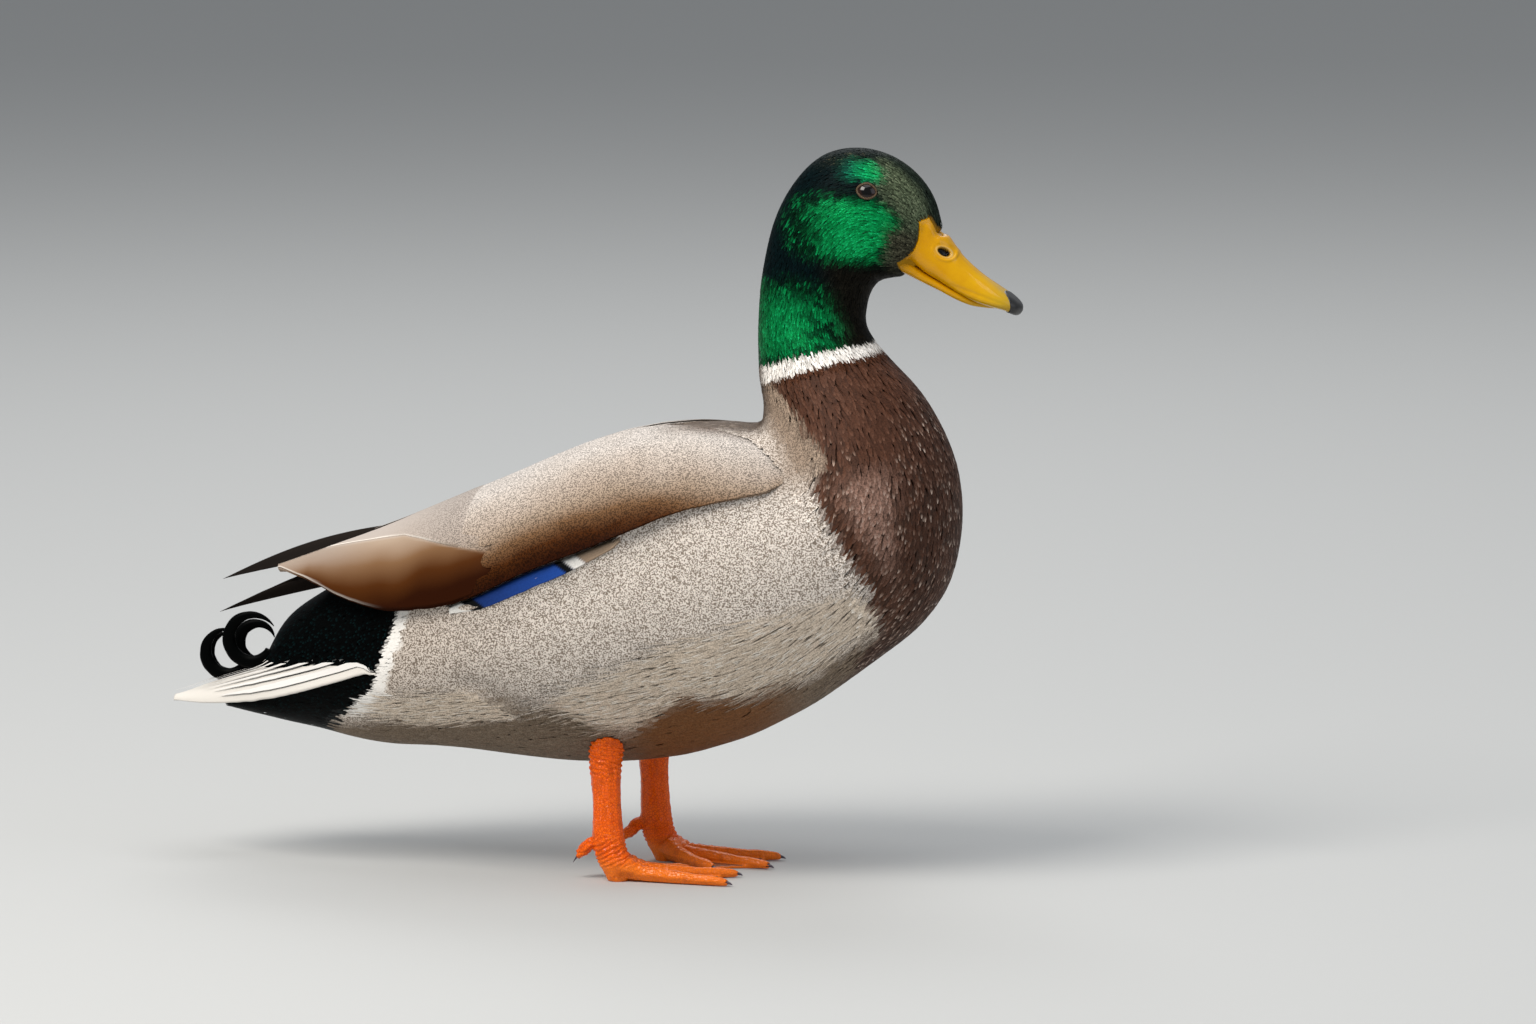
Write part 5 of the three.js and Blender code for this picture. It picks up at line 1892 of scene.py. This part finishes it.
def grounds(body: Body, markings: Markings) -> Layers:
    """Divides the hull among the tracts.

    Args:
        body: The measured body.
        markings: Where each patch lies.

    Returns:
        For each tract, by name, whether its feathers may stand at each point of the hull.
    """
    points = body.hull.points
    x, right, z = points[..., 0], points[..., 1] <= 0, points[..., 2]
    head = z > 256 + 0.294 * (x - 100)
    collared = (z > np.interp(x, markings.collar_x, markings.collar_low) - 2) & ~head
    breast = (markings.breast(points) > -6) & ~head & ~collared
    rump = in_front(points, markings.black_z, markings.black_x) < 1
    band = (in_front(points, markings.black_z, markings.white_x) < 4) & (z > 76) & ~rump
    rest = ~head & ~collared & ~breast & ~rump & ~band
    fringe = rest & (markings.streaked(points) > 0)
    belly = rest & ~fringe & (markings.belly(points) > 0)
    side = rest & ~fringe & ~belly
    return {
        "face_right": head & right, "face_left": head & ~right, "neck": collared, "breast": breast,
        "flank_right": side & right, "flank_left": side & ~right, "fringe": fringe, "belly": belly,
        "band": band, "rump": rump}


def coat(body: Body, markings: Markings, finishes: dict[str, Material]) -> None:
    """Covers the body in feathers, tract by tract.

    Args:
        body: The measured body.
        markings: Where each patch lies.
        finishes: The plumage finishes by name.
    """
    bare = (body.beaked > -0.1) | (body.socket < 1.12)
    open_ground = ~bare & (body.winged < 0.5)
    open_ground[:5] = False  # under the tail
    where = grounds(body, markings)
    for number, tract in enumerate(TRACTS):
        rng = np.random.default_rng(SEED + number)
        roots = body.roots(tract, open_ground & where[tract.name], rng)
        body.dress(tract, roots, rng).piece(f"coat_{tract.name}", finishes[tract.finish], tract.slot)


# Each curl's place and side, the degrees where it starts and that it turns, and its tip's radius in mm.
CURLS = (
    ("front", Side.RIGHT, -36, 292, 13.0), ("front", Side.LEFT, -36, 306, 8.0),
    ("rear", Side.RIGHT, -42, 232, 11.4), ("rear", Side.LEFT, -42, 222, 10.4))


def main() -> None:
    """Builds the duck part by part on its frame."""
    logging.basicConfig(level=logging.INFO, format="%(message)s")
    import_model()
    Studio().build()
    markings = Markings()
    plumages = {
        "loose": Plumage("loose_contour_feathers"),
        "breast": Plumage("soft_breast_feathers", bar_period=1.2, variation=0.25),
        "glossy": Plumage("close_glossy_feathers", 1.3, metallic=0.5, roughness=0.5, specular=0.03,
                          variation=0.30),
        "velvet": Plumage("velvet_black_feathers", metallic=0.3, roughness=0.5, specular=0.03),
        "wing": Plumage("sleek_wing_feathers", roughness=0.55, specular=0.03, relief=0.05,
                        variation=0.015),
        "mirror": Plumage("iridescent_wing_mirror", bar_period=1.2, metallic=0.5, roughness=0.45),
    }
    finishes = {name: plumage.make() for name, plumage in plumages.items()}
    body = Body(markings)
    body.skin(finishes["loose"])
    coat(body, markings, finishes)
    ball, lid = eye_finish(), lid_finish()
    for eye in body.eyes:
        eye.ball(ball)
        eye.lids(lid)
    bill = Bill(body)
    bill.halves(bill_finish())
    bill.nail(horn_finish("black_nail_horn", "#171718", "#33302e"))
    leg, claw = leg_finish(), horn_finish("grey_claw_horn", "#3a3040", "#5d505c")
    rng = np.random.default_rng(SEED)
    for side in Side:
        wing = Wing(side)
        wing.bed(finishes["wing"])
        wing.scapulars(finishes["wing"], rng)
        wing.tertials(finishes["wing"])
        wing.speculum(finishes["mirror"])
        WingTip(side).make(finishes["wing"])
        limb = Leg(side)
        limb.skin(leg)
        limb.claws(claw)
    Tail().make(finishes["wing"])
    for place, side, start, sweep, tip in CURLS:
        Curl(f"curl_{place}_{side.word}", start, sweep, tip).make(finishes["velvet"])


if __name__ == "__main__":
    main()
